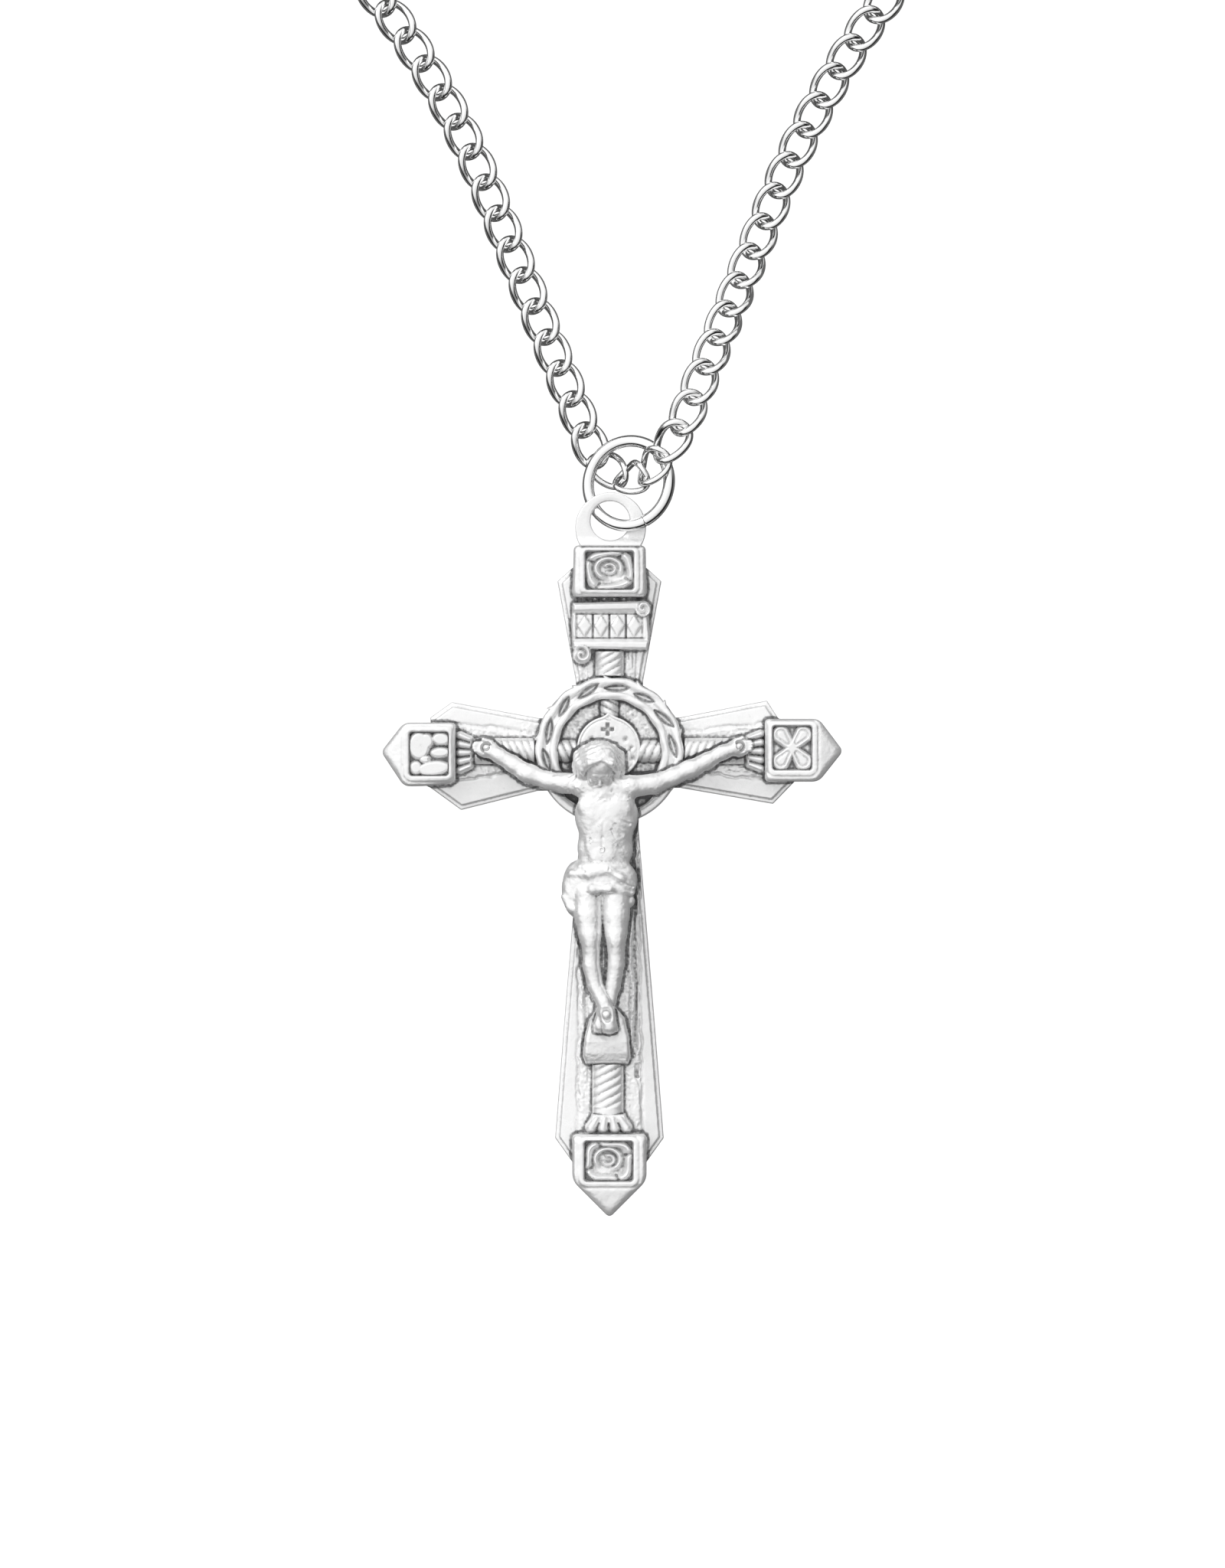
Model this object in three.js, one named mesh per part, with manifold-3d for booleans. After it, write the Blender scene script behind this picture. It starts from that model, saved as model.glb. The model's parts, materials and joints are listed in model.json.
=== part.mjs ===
// A crucifix pendant with its jump ring and curb neck chain, lying on its back.
// Millimetres. +Z comes out of the face, +Y runs up the post to the eye, and the
// origin is the middle of the back face behind the crossing.
import * as THREE from 'three';
import { mergeVertices } from 'three/addons/utils/BufferGeometryUtils.js';
import Module from 'manifold-3d';

const wasm = await Module();
wasm.setup();

// ---------- driving dimensions ----------
const PLATE_T = 1.25;            // back plate thickness
const HUB_R = 4.7;               // round hub of the plate
const DISC_R = 4.8, DISC_TOP = 1.75;
const BAND_IN = 3.45, BAND_OUT = 4.85, BAND_TOP = 2.5;
const MEDAL_R = 2.1, MEDAL_TOP = 2.25;
const ROD_R = 0.87;              // half-round rods on the arms
const CAP_TOP = 3.0;             // top of the box ends
const POCKET_FLOOR = 2.25;       // floor of their sunk panels
const RELIEF_TOP = 2.8125;
const EYE_Z0 = 2.5, EYE_Z1 = 2.75;
const EYE_C = [0.08, 14.55], EYE_R = 2.3, EYE_HOLE = [0.05, 15.0], EYE_HOLE_R = 1.28;
const RING_C = [1.25, 17.45, 2.68], RING_SLOPE = [0.36, -0.15];
const RING_R = 2.8, RING_WIRE = 0.38;
const LINK_A = 1.4, LINK_B = 0.95, LINK_C = 0.36;   // half length, half width, twist height
const LINK_WIRE = 0.25, LINK_WIRE_FINE = 0.2;
const PITCH = 2.185;
const STRAND_ANGLE = 21.9 * Math.PI / 180;
const FLOOR_Z = 0.65;            // height of a link lying flat
const CHAIN_W = 2.4;             // width of the chain

// ---------- materials ----------
const satin = new THREE.MeshStandardMaterial({ color: 0xd9dadb, roughness: 0.42, metalness: 1.0 });
const dark = new THREE.MeshStandardMaterial({ color: 0x8f9092, roughness: 0.55, metalness: 1.0 });
const bright = new THREE.MeshStandardMaterial({ color: 0xeeeeef, roughness: 0.12, metalness: 1.0 });

// ---------- helpers ----------
function clean(geo) {
  const g = geo.clone();
  for (const n of ['normal', 'uv', 'uv1']) if (g.getAttribute(n)) g.deleteAttribute(n);
  return mergeVertices(g, 1e-4);
}
function solid(geo) {
  const g = clean(geo);
  return new wasm.Manifold(new wasm.Mesh({
    numProp: 3,
    vertProperties: new Float32Array(g.getAttribute('position').array),
    triVerts: new Uint32Array(g.index.array),
  }));
}
function geometryOf(m) {
  const mesh = m.getMesh();
  const g = new THREE.BufferGeometry();
  const n = mesh.numProp, count = mesh.vertProperties.length / n, pos = new Float32Array(count * 3);
  for (let i = 0; i < count; i++) for (let k = 0; k < 3; k++) pos[3 * i + k] = mesh.vertProperties[n * i + k];
  g.setAttribute('position', new THREE.BufferAttribute(pos, 3));
  g.setIndex(new THREE.BufferAttribute(new Uint32Array(mesh.triVerts), 1));
  return g;
}
function prism(points, z0, z1, holes = []) {
  const shape = new THREE.Shape(points.map((p) => new THREE.Vector2(p[0], p[1])));
  for (const h of holes) shape.holes.push(new THREE.Path(h.map((p) => new THREE.Vector2(p[0], p[1]))));
  const g = new THREE.ExtrudeGeometry(shape, { depth: z1 - z0, bevelEnabled: false });
  g.translate(0, 0, z0);
  return g;
}
function circle(cx, cy, r, n, start = 0) {
  return Array.from({ length: n }, (_, i) => {
    const t = start + (2 * Math.PI * i) / n;
    return [cx + r * Math.cos(t), cy + r * Math.sin(t)];
  });
}
function ball(c, r, n = 10, m = 6) {
  const g = new THREE.SphereGeometry(1, n, m);
  g.rotateX(Math.PI / 2);
  g.scale(r[0], r[1], r[2]);
  g.translate(c[0], c[1], c[2]);
  return solid(g);
}
// a limb: a cone frustum between two balls
function limb(a, ra, b, rb, n = 8) {
  const A = new THREE.Vector3(...a), B = new THREE.Vector3(...b);
  const d = B.clone().sub(A), len = d.length();
  const g = new THREE.CylinderGeometry(rb, ra, len, n);
  g.translate(0, len / 2, 0);
  g.applyQuaternion(new THREE.Quaternion().setFromUnitVectors(new THREE.Vector3(0, 1, 0), d.normalize()));
  g.translate(...a);
  return solid(g).add(ball(a, [ra, ra, ra], n, 4)).add(ball(b, [rb, rb, rb], n, 4));
}
const object = new THREE.Group();
function add(name, geo, material, parent = object) {
  const m = new THREE.Mesh(geo, material);
  m.name = name;
  parent.add(m);
  return m;
}

// ---------- back plate ----------
const acrossHalf = [[-13.2, 1.7], [-11.7, 1.7], [-11.7, 2.2], [-10.2, 3.3], [-4.6, 2.2], [4.6, 2.2],
  [10.2, 3.3], [11.7, 2.2], [11.7, 1.7], [13.4, 1.7]];
const across = [[-14.4, 0], ...acrossHalf, [14.7, 0], ...acrossHalf.slice().reverse().map(([x, y]) => [x, -y])];
const upHalf = [[2.0, -28.0], [2.0, -26.9], [2.4, -26.9], [3.55, -25.3], [2.9, -17.0], [1.9, -5.0],
  [2.2, 4.6], [3.4, 11.1], [2.4, 12.0], [2.0, 12.0], [2.0, 13.1]];
const post = [[0, -29.9], ...upHalf, ...upHalf.slice().reverse().map(([x, y]) => [-x, y])];
const plate = solid(prism(across, 0, PLATE_T))
  .add(solid(prism(post, 0, PLATE_T)))
  .add(solid(prism(circle(0, 0, HUB_R, 40), 0, PLATE_T)));
add('cross_plate', geometryOf(plate), satin);

// ---------- crossing ----------
add('halo_disc', prism(circle(0, 0, DISC_R, 40), PLATE_T, DISC_TOP), dark);
{
  const w = BAND_OUT - BAND_IN, mid = (BAND_IN + BAND_OUT) / 2;
  const g = new THREE.LatheGeometry([
    new THREE.Vector2(BAND_OUT, DISC_TOP), new THREE.Vector2(BAND_OUT, DISC_TOP + 0.3),
    new THREE.Vector2(mid + w * 0.22, BAND_TOP), new THREE.Vector2(mid - w * 0.22, BAND_TOP),
    new THREE.Vector2(BAND_IN, DISC_TOP + 0.3), new THREE.Vector2(BAND_IN, DISC_TOP),
    new THREE.Vector2(BAND_OUT, DISC_TOP)], 32);
  g.rotateX(Math.PI / 2);
  add('thorn_band', g, satin);
}
{
  // round medallion whose outline rises to a point
  const pts = circle(-0.05, 0.2, MEDAL_R, 28, Math.PI / 2);
  pts[0] = [0.0, 2.75];
  add('nimbus_medallion', prism(pts, DISC_TOP, MEDAL_TOP), satin);
}

// ---------- rods, half round, flat side down ----------
function rod(name, from, to, half, height) {
  const n = 8;
  const sec = Array.from({ length: n + 1 }, (_, i) => {
    const t = (Math.PI * i) / n;
    return [half * Math.cos(t), height * Math.sin(t)];
  });
  const len = Math.hypot(to[0] - from[0], to[1] - from[1]);
  const g = new THREE.ExtrudeGeometry(new THREE.Shape(sec.map((p) => new THREE.Vector2(...p))), { depth: len, bevelEnabled: false });
  g.rotateX(Math.PI / 2);              // section now stands on the plate, running toward -Y
  const m = add(name, g, satin);
  m.position.set(from[0], from[1], PLATE_T);
  m.rotation.z = Math.atan2(to[1] - from[1], to[0] - from[0]) + Math.PI / 2;
}
rod('rod_left', [-4.9, 0], [-8.78, 0], ROD_R, ROD_R);
rod('rod_right', [4.9, 0], [8.78, 0], ROD_R, ROD_R);
rod('rod_top', [0, 4.92], [0, 6.5], 0.95, ROD_R);
rod('rod_bottom', [-0.1, -20.42], [-0.1, -23.78], 1.02, ROD_R);

// ---------- pronged collars ----------
// a bar with four prongs, drawn pointing toward -Y and turned to its place
function claw(name, x, y, turn, half, depth, bar, top) {
  const w = (2 * half) / 7, pts = [[half, 0], [-half, 0]];
  for (let i = 0; i < 4; i++) {
    const a = -half + 2 * i * w;
    pts.push([a, -depth + w * 0.3], [a + w * 0.5, -depth], [a + w, -depth + w * 0.3]);
    if (i < 3) pts.push([a + w, -bar], [a + 2 * w, -bar]);
  }
  const g = prism(pts.reverse(), 0, top - PLATE_T);
  const m = add(name, g, satin);
  m.position.set(x, y, PLATE_T);
  m.rotation.z = turn;
}
claw('claw_left', -10.0, 0, Math.PI / 2, 1.75, 1.15, 0.35, 2.3125);
claw('claw_right', 10.1, 0, -Math.PI / 2, 1.75, 1.25, 0.35, 2.3125);
claw('claw_top', 0, 10.02, 0, 1.9, 0.18, 0.06, 2.25);
claw('claw_bottom', -0.02, -24.9, Math.PI, 1.5, 1.05, 0.35, 2.3125);

// ---------- box ends with sunk panels ----------
function cap(name, outline, pocket) {
  const body = solid(prism(outline, PLATE_T, CAP_TOP));
  add(name, geometryOf(body.subtract(solid(prism(pocket, POCKET_FLOOR, CAP_TOP + 1)))), satin);
}
const box = (x0, y0, x1, y1) => [[x0, y0], [x1, y0], [x1, y1], [x0, y1]];
cap('end_cap_left', [[-10.05, -2], [-10.05, 2], [-13.3, 2], [-14.8, 0], [-13.3, -2]], box(-13.05, -1.5, -10.5, 1.5));
cap('end_cap_right', [[10.15, -2], [13.6, -2], [15.1, 0], [13.6, 2], [10.15, 2]], box(10.65, -1.5, 13.2, 1.5));
cap('end_cap_top', box(-2.4, 10.06, 2.4, 13.3), box(-1.6, 10.65, 1.6, 12.95));
cap('end_cap_bottom', [[-2.4, -24.95], [-2.4, -28.1], [0, -30.3], [2.4, -28.1], [2.4, -24.95]], box(-1.65, -28.05, 1.55, -25.45));

// ---------- reliefs in the panels ----------
function flower(cx, cy, rx, ry, lobes, deep, n = 4, start = 0) {
  const total = lobes * n;
  return Array.from({ length: total }, (_, i) => {
    const t = start + (2 * Math.PI * i) / total;
    const k = 1 - deep * (0.5 - 0.5 * Math.cos(lobes * (t - start)));
    return [cx + rx * k * Math.cos(t), cy + ry * k * Math.sin(t)];
  });
}
const RZ = [POCKET_FLOOR, RELIEF_TOP];
add('relief_left', prism(flower(-11.78, 0, 1.15, 1.35, 5, 0.3, 4, Math.PI / 2), ...RZ), satin);
add('relief_right', prism(flower(11.92, 0, 1.22, 1.42, 4, 0.45, 4, Math.PI / 4), ...RZ), satin);
add('relief_top', prism(flower(0, 11.8, 1.25, 1.05, 6, 0.25, 4), ...RZ), satin);
add('relief_bottom', prism(flower(-0.05, -26.75, 1.3, 1.2, 6, 0.25, 4, Math.PI / 6), ...RZ), satin);

// ---------- scroll tablet ----------
{
  const sheet = [[-2.3, 6.75], [2.5, 6.6], [2.62, 7.4], [2.45, 9.3], [2.2, 9.75], [-2.35, 9.6], [-2.45, 8.2]];
  const s = solid(prism(sheet, PLATE_T, 2.25))
    .add(solid(prism(circle(2.2, 9.25, 0.52, 12), PLATE_T, 2.5)))
    .add(solid(prism(circle(-1.85, 6.55, 0.6, 12), PLATE_T, 2.5)));
  add('title_scroll', geometryOf(s), satin);
}

// ---------- foot rest: a wedge ----------
{
  const prof = [[-20.35, PLATE_T], [-17.65, PLATE_T], [-18.75, 2.75], [-20.35, 2.0]];
  const g = new THREE.ExtrudeGeometry(new THREE.Shape(prof.map((p) => new THREE.Vector2(...p))), { depth: 2.95, bevelEnabled: false });
  // the profile's x is the object's y, its y is the object's z
  g.applyMatrix4(new THREE.Matrix4().set(0, 0, 1, -1.65, 1, 0, 0, 0, 0, 1, 0, 0, 0, 0, 0, 1));
  add('foot_rest', g, satin);
}

// ---------- figure ----------
const PALM_L = [-8.0, 0.2, 2.8], PALM_R = [8.45, 0.3, 2.8], FEET = [-0.2, -17.15, 3.85];
{
  let f = ball([-0.65, -0.95, 4.2], [1.6, 1.5, 1.5]);
  const parts = [
    ball([-0.6, -2.1, 4.0], [1.2, 1.3, 1.1], 10, 6),
    ball([-0.35, -3.9, 3.85], [2.0, 1.95, 1.2]),
    ball([-0.45, -6.6, 3.45], [1.7, 2.1, 1.0], 10, 6),
    ball([-0.6, -8.7, 3.3], [2.1, 1.6, 1.2], 10, 6),
    limb([-2.3, -2.15, 3.75], 0.72, [-4.05, -1.95, 3.35], 0.56),
    limb([-4.05, -1.95, 3.35], 0.56, [-6.35, -0.8, 3.0], 0.52),
    limb([-6.35, -0.8, 3.0], 0.52, [-7.45, -0.1, 2.88], 0.4),
    limb([1.6, -2.3, 3.75], 0.72, [4.2, -1.65, 3.35], 0.56),
    limb([4.2, -1.65, 3.35], 0.56, [6.4, -0.65, 3.0], 0.52),
    limb([6.4, -0.65, 3.0], 0.52, [7.8, 0.0, 2.88], 0.4),
    ball([-8.2, 0.25, 2.8], [0.85, 0.5, 0.34], 8, 5),
    ball([8.65, 0.35, 2.8], [0.85, 0.5, 0.34], 8, 5),
    limb([-1.25, -9.4, 3.35], 1.0, [-1.05, -12.3, 4.0], 0.72),
    limb([0.35, -9.4, 3.35], 1.0, [0.25, -12.3, 3.95], 0.72),
    limb([-1.05, -12.3, 4.0], 0.7, [-0.5, -15.9, 3.35], 0.48),
    limb([0.25, -12.3, 3.95], 0.7, [-0.05, -15.9, 3.6], 0.48),
    limb([-0.35, -15.9, 3.45], 0.55, [-0.2, -18.1, 4.05], 0.6),
  ];
  for (const p of parts) f = f.add(p);
  const drill = (c, r) => {
    const g = new THREE.CylinderGeometry(r, r, 3, 10);
    g.rotateX(Math.PI / 2);
    g.translate(c[0], c[1], c[2]);
    return solid(g);
  };
  f = f.subtract(drill(PALM_L, 0.21)).subtract(drill(PALM_R, 0.21)).subtract(drill(FEET, 0.26));
  add('corpus', geometryOf(f), satin);
}
function nail(name, c, z0, z1, shaft, head) {
  const g = new THREE.LatheGeometry([
    new THREE.Vector2(0, z0), new THREE.Vector2(shaft, z0), new THREE.Vector2(shaft, z1),
    new THREE.Vector2(head, z1), new THREE.Vector2(head * 0.7, z1 + 0.2), new THREE.Vector2(0, z1 + 0.26)], 10);
  g.rotateX(Math.PI / 2);
  g.translate(c[0], c[1], 0);
  add(name, g, satin);
}
nail('nail_left', PALM_L, 2.36, 3.15, 0.13, 0.3);
nail('nail_right', PALM_R, 2.36, 3.15, 0.13, 0.3);
nail('nail_feet', FEET, 2.9, 4.5, 0.17, 0.36);

// ---------- eye ----------
{
  const out = circle(...EYE_C, EYE_R, 32).filter((p) => p[1] > 13.34);
  out.sort((a, b) => Math.atan2(a[1] - 14.2, a[0]) - Math.atan2(b[1] - 14.2, b[0]));
  const e = solid(prism(circle(...EYE_C, EYE_R, 32), EYE_Z0, EYE_Z1))
    .subtract(solid(prism(box(-4, 8, 4, 13.34), EYE_Z0 - 1, EYE_Z1 + 1)))
    .subtract(solid(prism(circle(...EYE_HOLE, EYE_HOLE_R, 20), EYE_Z0 - 1, EYE_Z1 + 1)));
  add('bail_eye', geometryOf(e), satin);
}

// ---------- jump ring ----------
{
  const n = new THREE.Vector3(-RING_SLOPE[0], -RING_SLOPE[1], 1).normalize();
  const m = add('jump_ring', new THREE.TorusGeometry(RING_R, RING_WIRE, 8, 28), bright);
  m.quaternion.setFromUnitVectors(new THREE.Vector3(0, 0, 1), n);
  m.position.set(...RING_C);
}

// ---------- chain links ----------
// each link is one round wire bent into an oval and twisted so that neighbours nest
class LinkCurve extends THREE.Curve {
  getPoint(t, v = new THREE.Vector3()) {
    const a = 2 * Math.PI * t;
    return v.set(LINK_A * Math.cos(a), LINK_B * Math.sin(a), LINK_C * Math.sin(2 * a));
  }
}
function linkGeometry(r) { return new THREE.TubeGeometry(new LinkCurve(), 18, r, 6, true); }
const linkShape = linkGeometry(LINK_WIRE), fineShape = linkGeometry(LINK_WIRE_FINE);
function place(name, c, X, Z, shape = linkShape) {
  const x = new THREE.Vector3(...X).normalize();
  const z = new THREE.Vector3(...Z);
  z.addScaledVector(x, -z.dot(x)).normalize();
  const y = new THREE.Vector3().crossVectors(z, x);
  const m = add(name, shape, bright);
  m.applyMatrix4(new THREE.Matrix4().makeBasis(x, y, z).setPosition(...c));
}
// the links that thread the jump ring, from the left strand round to the right
place('link_left_1', [-1.25, 20.0, FLOOR_Z], [0.373, -0.9278, 0], [0, 0, 1]);
place('link_mid_left', [-0.052, 18.42, 1.015], [0.7544, -0.5591, 0.3439], [-0.2978, 0.1755, 0.9384], fineShape);
place('link_mid', [1.48, 17.852, 2.193], [0.6648, 0.0332, 0.7463], [-0.7407, 0.159, 0.6527], fineShape);
place('link_mid_right', [2.787, 18.542, 3.635], [0.5418, 0.6033, 0.5853], [-0.7038, -0.055, 0.7083], fineShape);
place('link_right_1', [4.006, 20.058, 4.454], [0.5822, 0.7951, 0.1698], [-0.3527, 0.0588, 0.9339]);
place('link_right_2', [5.063, 21.914, 4.52], [0.3906, 0.914, -0.1093], [-0.1598, 0.1843, 0.9698]);
place('link_right_3', [5.876, 23.918, 4.191], [0.3524, 0.9162, -0.1906], [0.0088, 0.2005, 0.9797]);
// the two straight strands
const SX = Math.sin(STRAND_ANGLE), SY = Math.cos(STRAND_ANGLE);
for (let i = 2; i <= 9; i++) {
  place(`link_left_${i}`, [-1.25 - SX * PITCH * (i - 1), 20 + SY * PITCH * (i - 1), FLOOR_Z], [SX, -SY, 0], [0, 0, 1]);
}
const DROP = [0.25, 0.33, 0.36, 0.33, 0.24, 0.12];   // slope of each step from link 3 down to the surface
const RIGHT_3 = [5.876, 23.918, 4.191];
const rightEnd = RIGHT_3.slice();
DROP.forEach((s, k) => {
  const run = PITCH / Math.hypot(1, s), next = DROP[k + 1] ?? 0;
  rightEnd[0] += SX * run; rightEnd[1] += SY * run; rightEnd[2] -= s * run;
  place(`link_right_${k + 4}`, rightEnd, [SX, SY, -(s + next) / 2], [0, 0, 1]);
});

// ---------- the rest of the chain: a run and a flat spiral on each side ----------
const MIRROR_X = 1.48;                       // the strands mirror about this plane
const COIL_C = [-12.9, 69.9], COIL_A = 8.3;  // centre and half leg of the long coil
const COIL_R = 9.8, COIL_OUT = 11.1, COIL_IN = 2.85, COIL_EYE = 4.2, COIL_T = 1.3;
const RUN_R = CHAIN_W / 2;
function stadium(cx, cy, a, r, n = 12) {
  const p = [];
  for (let i = 0; i <= n; i++) p.push([cx + r * Math.cos((Math.PI * i) / n), cy + a + r * Math.sin((Math.PI * i) / n)]);
  for (let i = 0; i <= n; i++) p.push([cx - r * Math.cos((Math.PI * i) / n), cy - a - r * Math.sin((Math.PI * i) / n)]);
  return p;
}
function chainRest(side, start, heading) {
  const s = side === 'left' ? 1 : -1;
  const flip = (p) => [s === 1 ? p[0] : 2 * MIRROR_X - p[0], p[1]];
  const c = flip(COIL_C);
  const a = 225 * Math.PI / 180;
  const end = flip([COIL_C[0] + COIL_R * Math.cos(a), COIL_C[1] - COIL_A + COIL_R * Math.sin(a)]);
  const dir = [-0.7071 * s, 0.7071];
  const p0 = [start[0] + heading[0] * 1.95, start[1] + heading[1] * 1.95];
  const p3 = [end[0] - dir[0] * 6.6, end[1] - dir[1] * 6.6];
  const curve = new THREE.CubicBezierCurve3(
    new THREE.Vector3(p0[0], p0[1], RUN_R), new THREE.Vector3(p0[0] + heading[0] * 4, p0[1] + heading[1] * 4, RUN_R),
    new THREE.Vector3(p3[0] - dir[0] * 3, p3[1] - dir[1] * 3, RUN_R), new THREE.Vector3(p3[0], p3[1], RUN_R));
  const section = new THREE.Shape(circle(0, 0, RUN_R * 0.99, 8, Math.PI / 8).map((p) => new THREE.Vector2(...p)));
  add(`chain_run_${side}`, new THREE.ExtrudeGeometry(section, { steps: 5, extrudePath: curve, bevelEnabled: false }), bright);
  const coil = solid(prism(stadium(c[0], c[1], COIL_A, COIL_OUT), 0.02, COIL_T))
    .subtract(solid(prism(stadium(c[0], c[1], COIL_A, COIL_IN), -1, 3)))
    .subtract(solid(prism(circle(c[0], c[1] + COIL_A, COIL_EYE, 24), -1, 3)));
  add(`chain_coil_${side}`, geometryOf(coil), bright);
  return [c[0], c[1] + COIL_A];
}
const leftEnd = [-1.25 - SX * PITCH * 8, 20 + SY * PITCH * 8];
const coilL = chainRest('left', leftEnd, [-SX, SY]);
const coilR = chainRest('right', rightEnd, [SX, SY]);

// ---------- clasp, in the eye of the left spiral ----------
const CLASP = [coilL[0] + 0.3, coilL[1] - 0.5];
{
  // a flat hook: an oval frame with a gap that the lever closes
  const n = 22, out = [], inn = [];
  for (let i = 0; i <= n; i++) {
    const t = (-10 - (320 * i) / n) * Math.PI / 180;
    out.push([CLASP[0] + 1.75 * Math.cos(t), CLASP[1] + 2.7 * Math.sin(t)]);
    inn.push([CLASP[0] + 1.05 * Math.cos(t), CLASP[1] + 1.9 * Math.sin(t)]);
  }
  const hook = solid(prism([...out, ...inn.reverse()].reverse(), 0.1, 1.3));
  const stem = solid(prism(box(CLASP[0] - 0.55, CLASP[1] + 2.3, CLASP[0] + 0.55, CLASP[1] + 3.5), 0.3, 1.1));
  const eye = solid(prism(circle(CLASP[0], CLASP[1] + 2.95, 0.27, 10), -1, 3));
  add('clasp_body', geometryOf(hook.add(stem).subtract(eye)), bright);
  const lever = prism([[CLASP[0] + 1.25, CLASP[1] - 0.1], [CLASP[0] + 1.75, CLASP[1] - 0.1], [CLASP[0] + 1.9, CLASP[1] + 0.4],
    [CLASP[0] + 1.72, CLASP[1] + 1.0], [CLASP[0] + 1.2, CLASP[1] + 0.95]], 0.35, 1.05);
  add('clasp_lever', lever, bright);
}
function smallRing(name, x, y, r, wire) {
  const m = add(name, new THREE.TorusGeometry(r, wire, 6, 18), bright);
  m.position.set(x, y, 0.7);
  return m;
}
// the little ring stands in the clasp's eye and ties it to the last link
const tie = smallRing('clasp_ring', CLASP[0], CLASP[1] + 3.72, 0.78, 0.2);
tie.rotation.set(0, Math.PI / 2 * 0.55, Math.PI / 2, 'ZYX');
tie.position.z = 0.98;
smallRing('end_ring', coilR[0] + 0.1, coilR[1] + 1.0, 2.0, 0.35);
export default object;
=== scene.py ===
"""A silver crucifix pendant, its jump ring and its curb chain, lying on a pale surface."""
import json
import math
import time

import bpy
import numpy as np
import openvdb
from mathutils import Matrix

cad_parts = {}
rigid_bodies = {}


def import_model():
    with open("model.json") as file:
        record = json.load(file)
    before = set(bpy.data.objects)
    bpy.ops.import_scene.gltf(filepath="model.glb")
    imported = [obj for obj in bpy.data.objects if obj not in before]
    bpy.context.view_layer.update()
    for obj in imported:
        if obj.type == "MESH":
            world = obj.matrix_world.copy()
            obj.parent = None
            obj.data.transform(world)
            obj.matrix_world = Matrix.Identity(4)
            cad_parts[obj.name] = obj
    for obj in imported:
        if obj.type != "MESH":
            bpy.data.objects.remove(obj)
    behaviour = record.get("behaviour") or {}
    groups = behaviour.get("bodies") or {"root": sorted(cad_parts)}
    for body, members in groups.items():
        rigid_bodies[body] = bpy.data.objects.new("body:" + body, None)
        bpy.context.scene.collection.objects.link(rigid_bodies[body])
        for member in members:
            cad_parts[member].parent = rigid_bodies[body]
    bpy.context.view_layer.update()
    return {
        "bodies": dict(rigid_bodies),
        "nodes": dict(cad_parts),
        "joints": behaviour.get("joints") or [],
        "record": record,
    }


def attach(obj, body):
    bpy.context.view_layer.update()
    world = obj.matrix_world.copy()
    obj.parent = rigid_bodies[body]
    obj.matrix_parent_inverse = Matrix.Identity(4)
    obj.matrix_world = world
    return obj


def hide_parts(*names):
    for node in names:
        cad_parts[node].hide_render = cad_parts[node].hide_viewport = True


for o in list(bpy.data.objects):
    bpy.data.objects.remove(o)
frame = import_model()
NODES = frame["nodes"]
MM = 0.001
T0 = time.time()
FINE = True

# ------------------------------------------------------------------ camera
# The frame covers 80 x 102.4 mm about (0.2, -2.15), seen from straight above.
scene = bpy.context.scene
cam_data = bpy.data.cameras.new("camera")
cam = bpy.data.objects.new("camera", cam_data)
scene.collection.objects.link(cam)
cam_data.sensor_fit = "VERTICAL"
cam_data.sensor_height = 36.0
CAM_D = 0.5
cam_data.lens = 36.0 * CAM_D / 0.1024
cam_data.clip_start, cam_data.clip_end = 0.01, 50.0
cam.location = (0.0002, -0.00215, CAM_D + 0.0015)
cam.rotation_euler = (0, 0, 0)
scene.camera = cam


# ------------------------------------------------------------------ small maths
def sstep(a, b, x):
    t = np.clip((x - a) / (b - a), 0, 1)
    return t * t * (3 - 2 * t)


def smin(a, b, k):
    h = np.maximum(k - np.abs(a - b), 0) / k
    return np.minimum(a, b) - h * h * k * 0.25


def smax(a, b, k):
    return -smin(-a, -b, k)


def lattice(seed, shape):
    return np.random.default_rng(seed).random(shape).astype(np.float32)


def noise2(x, y, scale, seed=0):
    """Smooth value noise in -1..1 on a lattice of that spacing in mm."""
    L = lattice(seed, (64, 64))
    u, v = x / scale + 200.0, y / scale + 200.0
    iu, iv = np.floor(u).astype(int), np.floor(v).astype(int)
    fu, fv = u - iu, v - iv
    fu, fv = fu * fu * (3 - 2 * fu), fv * fv * (3 - 2 * fv)
    g = lambda a, b: L[a % 64, b % 64]
    n = (g(iu, iv) * (1 - fu) + g(iu + 1, iv) * fu) * (1 - fv) + (g(iu, iv + 1) * (1 - fu) + g(iu + 1, iv + 1) * fu) * fv
    return n * 2 - 1


def noise3(x, y, z, scale, seed=0):
    L = lattice(seed, (32, 32, 32))
    p = [c / scale + 100.0 for c in (x, y, z)]
    i = [np.floor(c).astype(int) for c in p]
    f = [c - j for c, j in zip(p, i)]
    f = [t * t * (3 - 2 * t) for t in f]
    out = 0
    for a in (0, 1):
        for b in (0, 1):
            for c in (0, 1):
                w = (f[0] if a else 1 - f[0]) * (f[1] if b else 1 - f[1]) * (f[2] if c else 1 - f[2])
                out = out + w * L[(i[0] + a) % 32, (i[1] + b) % 32, (i[2] + c) % 32]
    return out * 2 - 1


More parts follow.
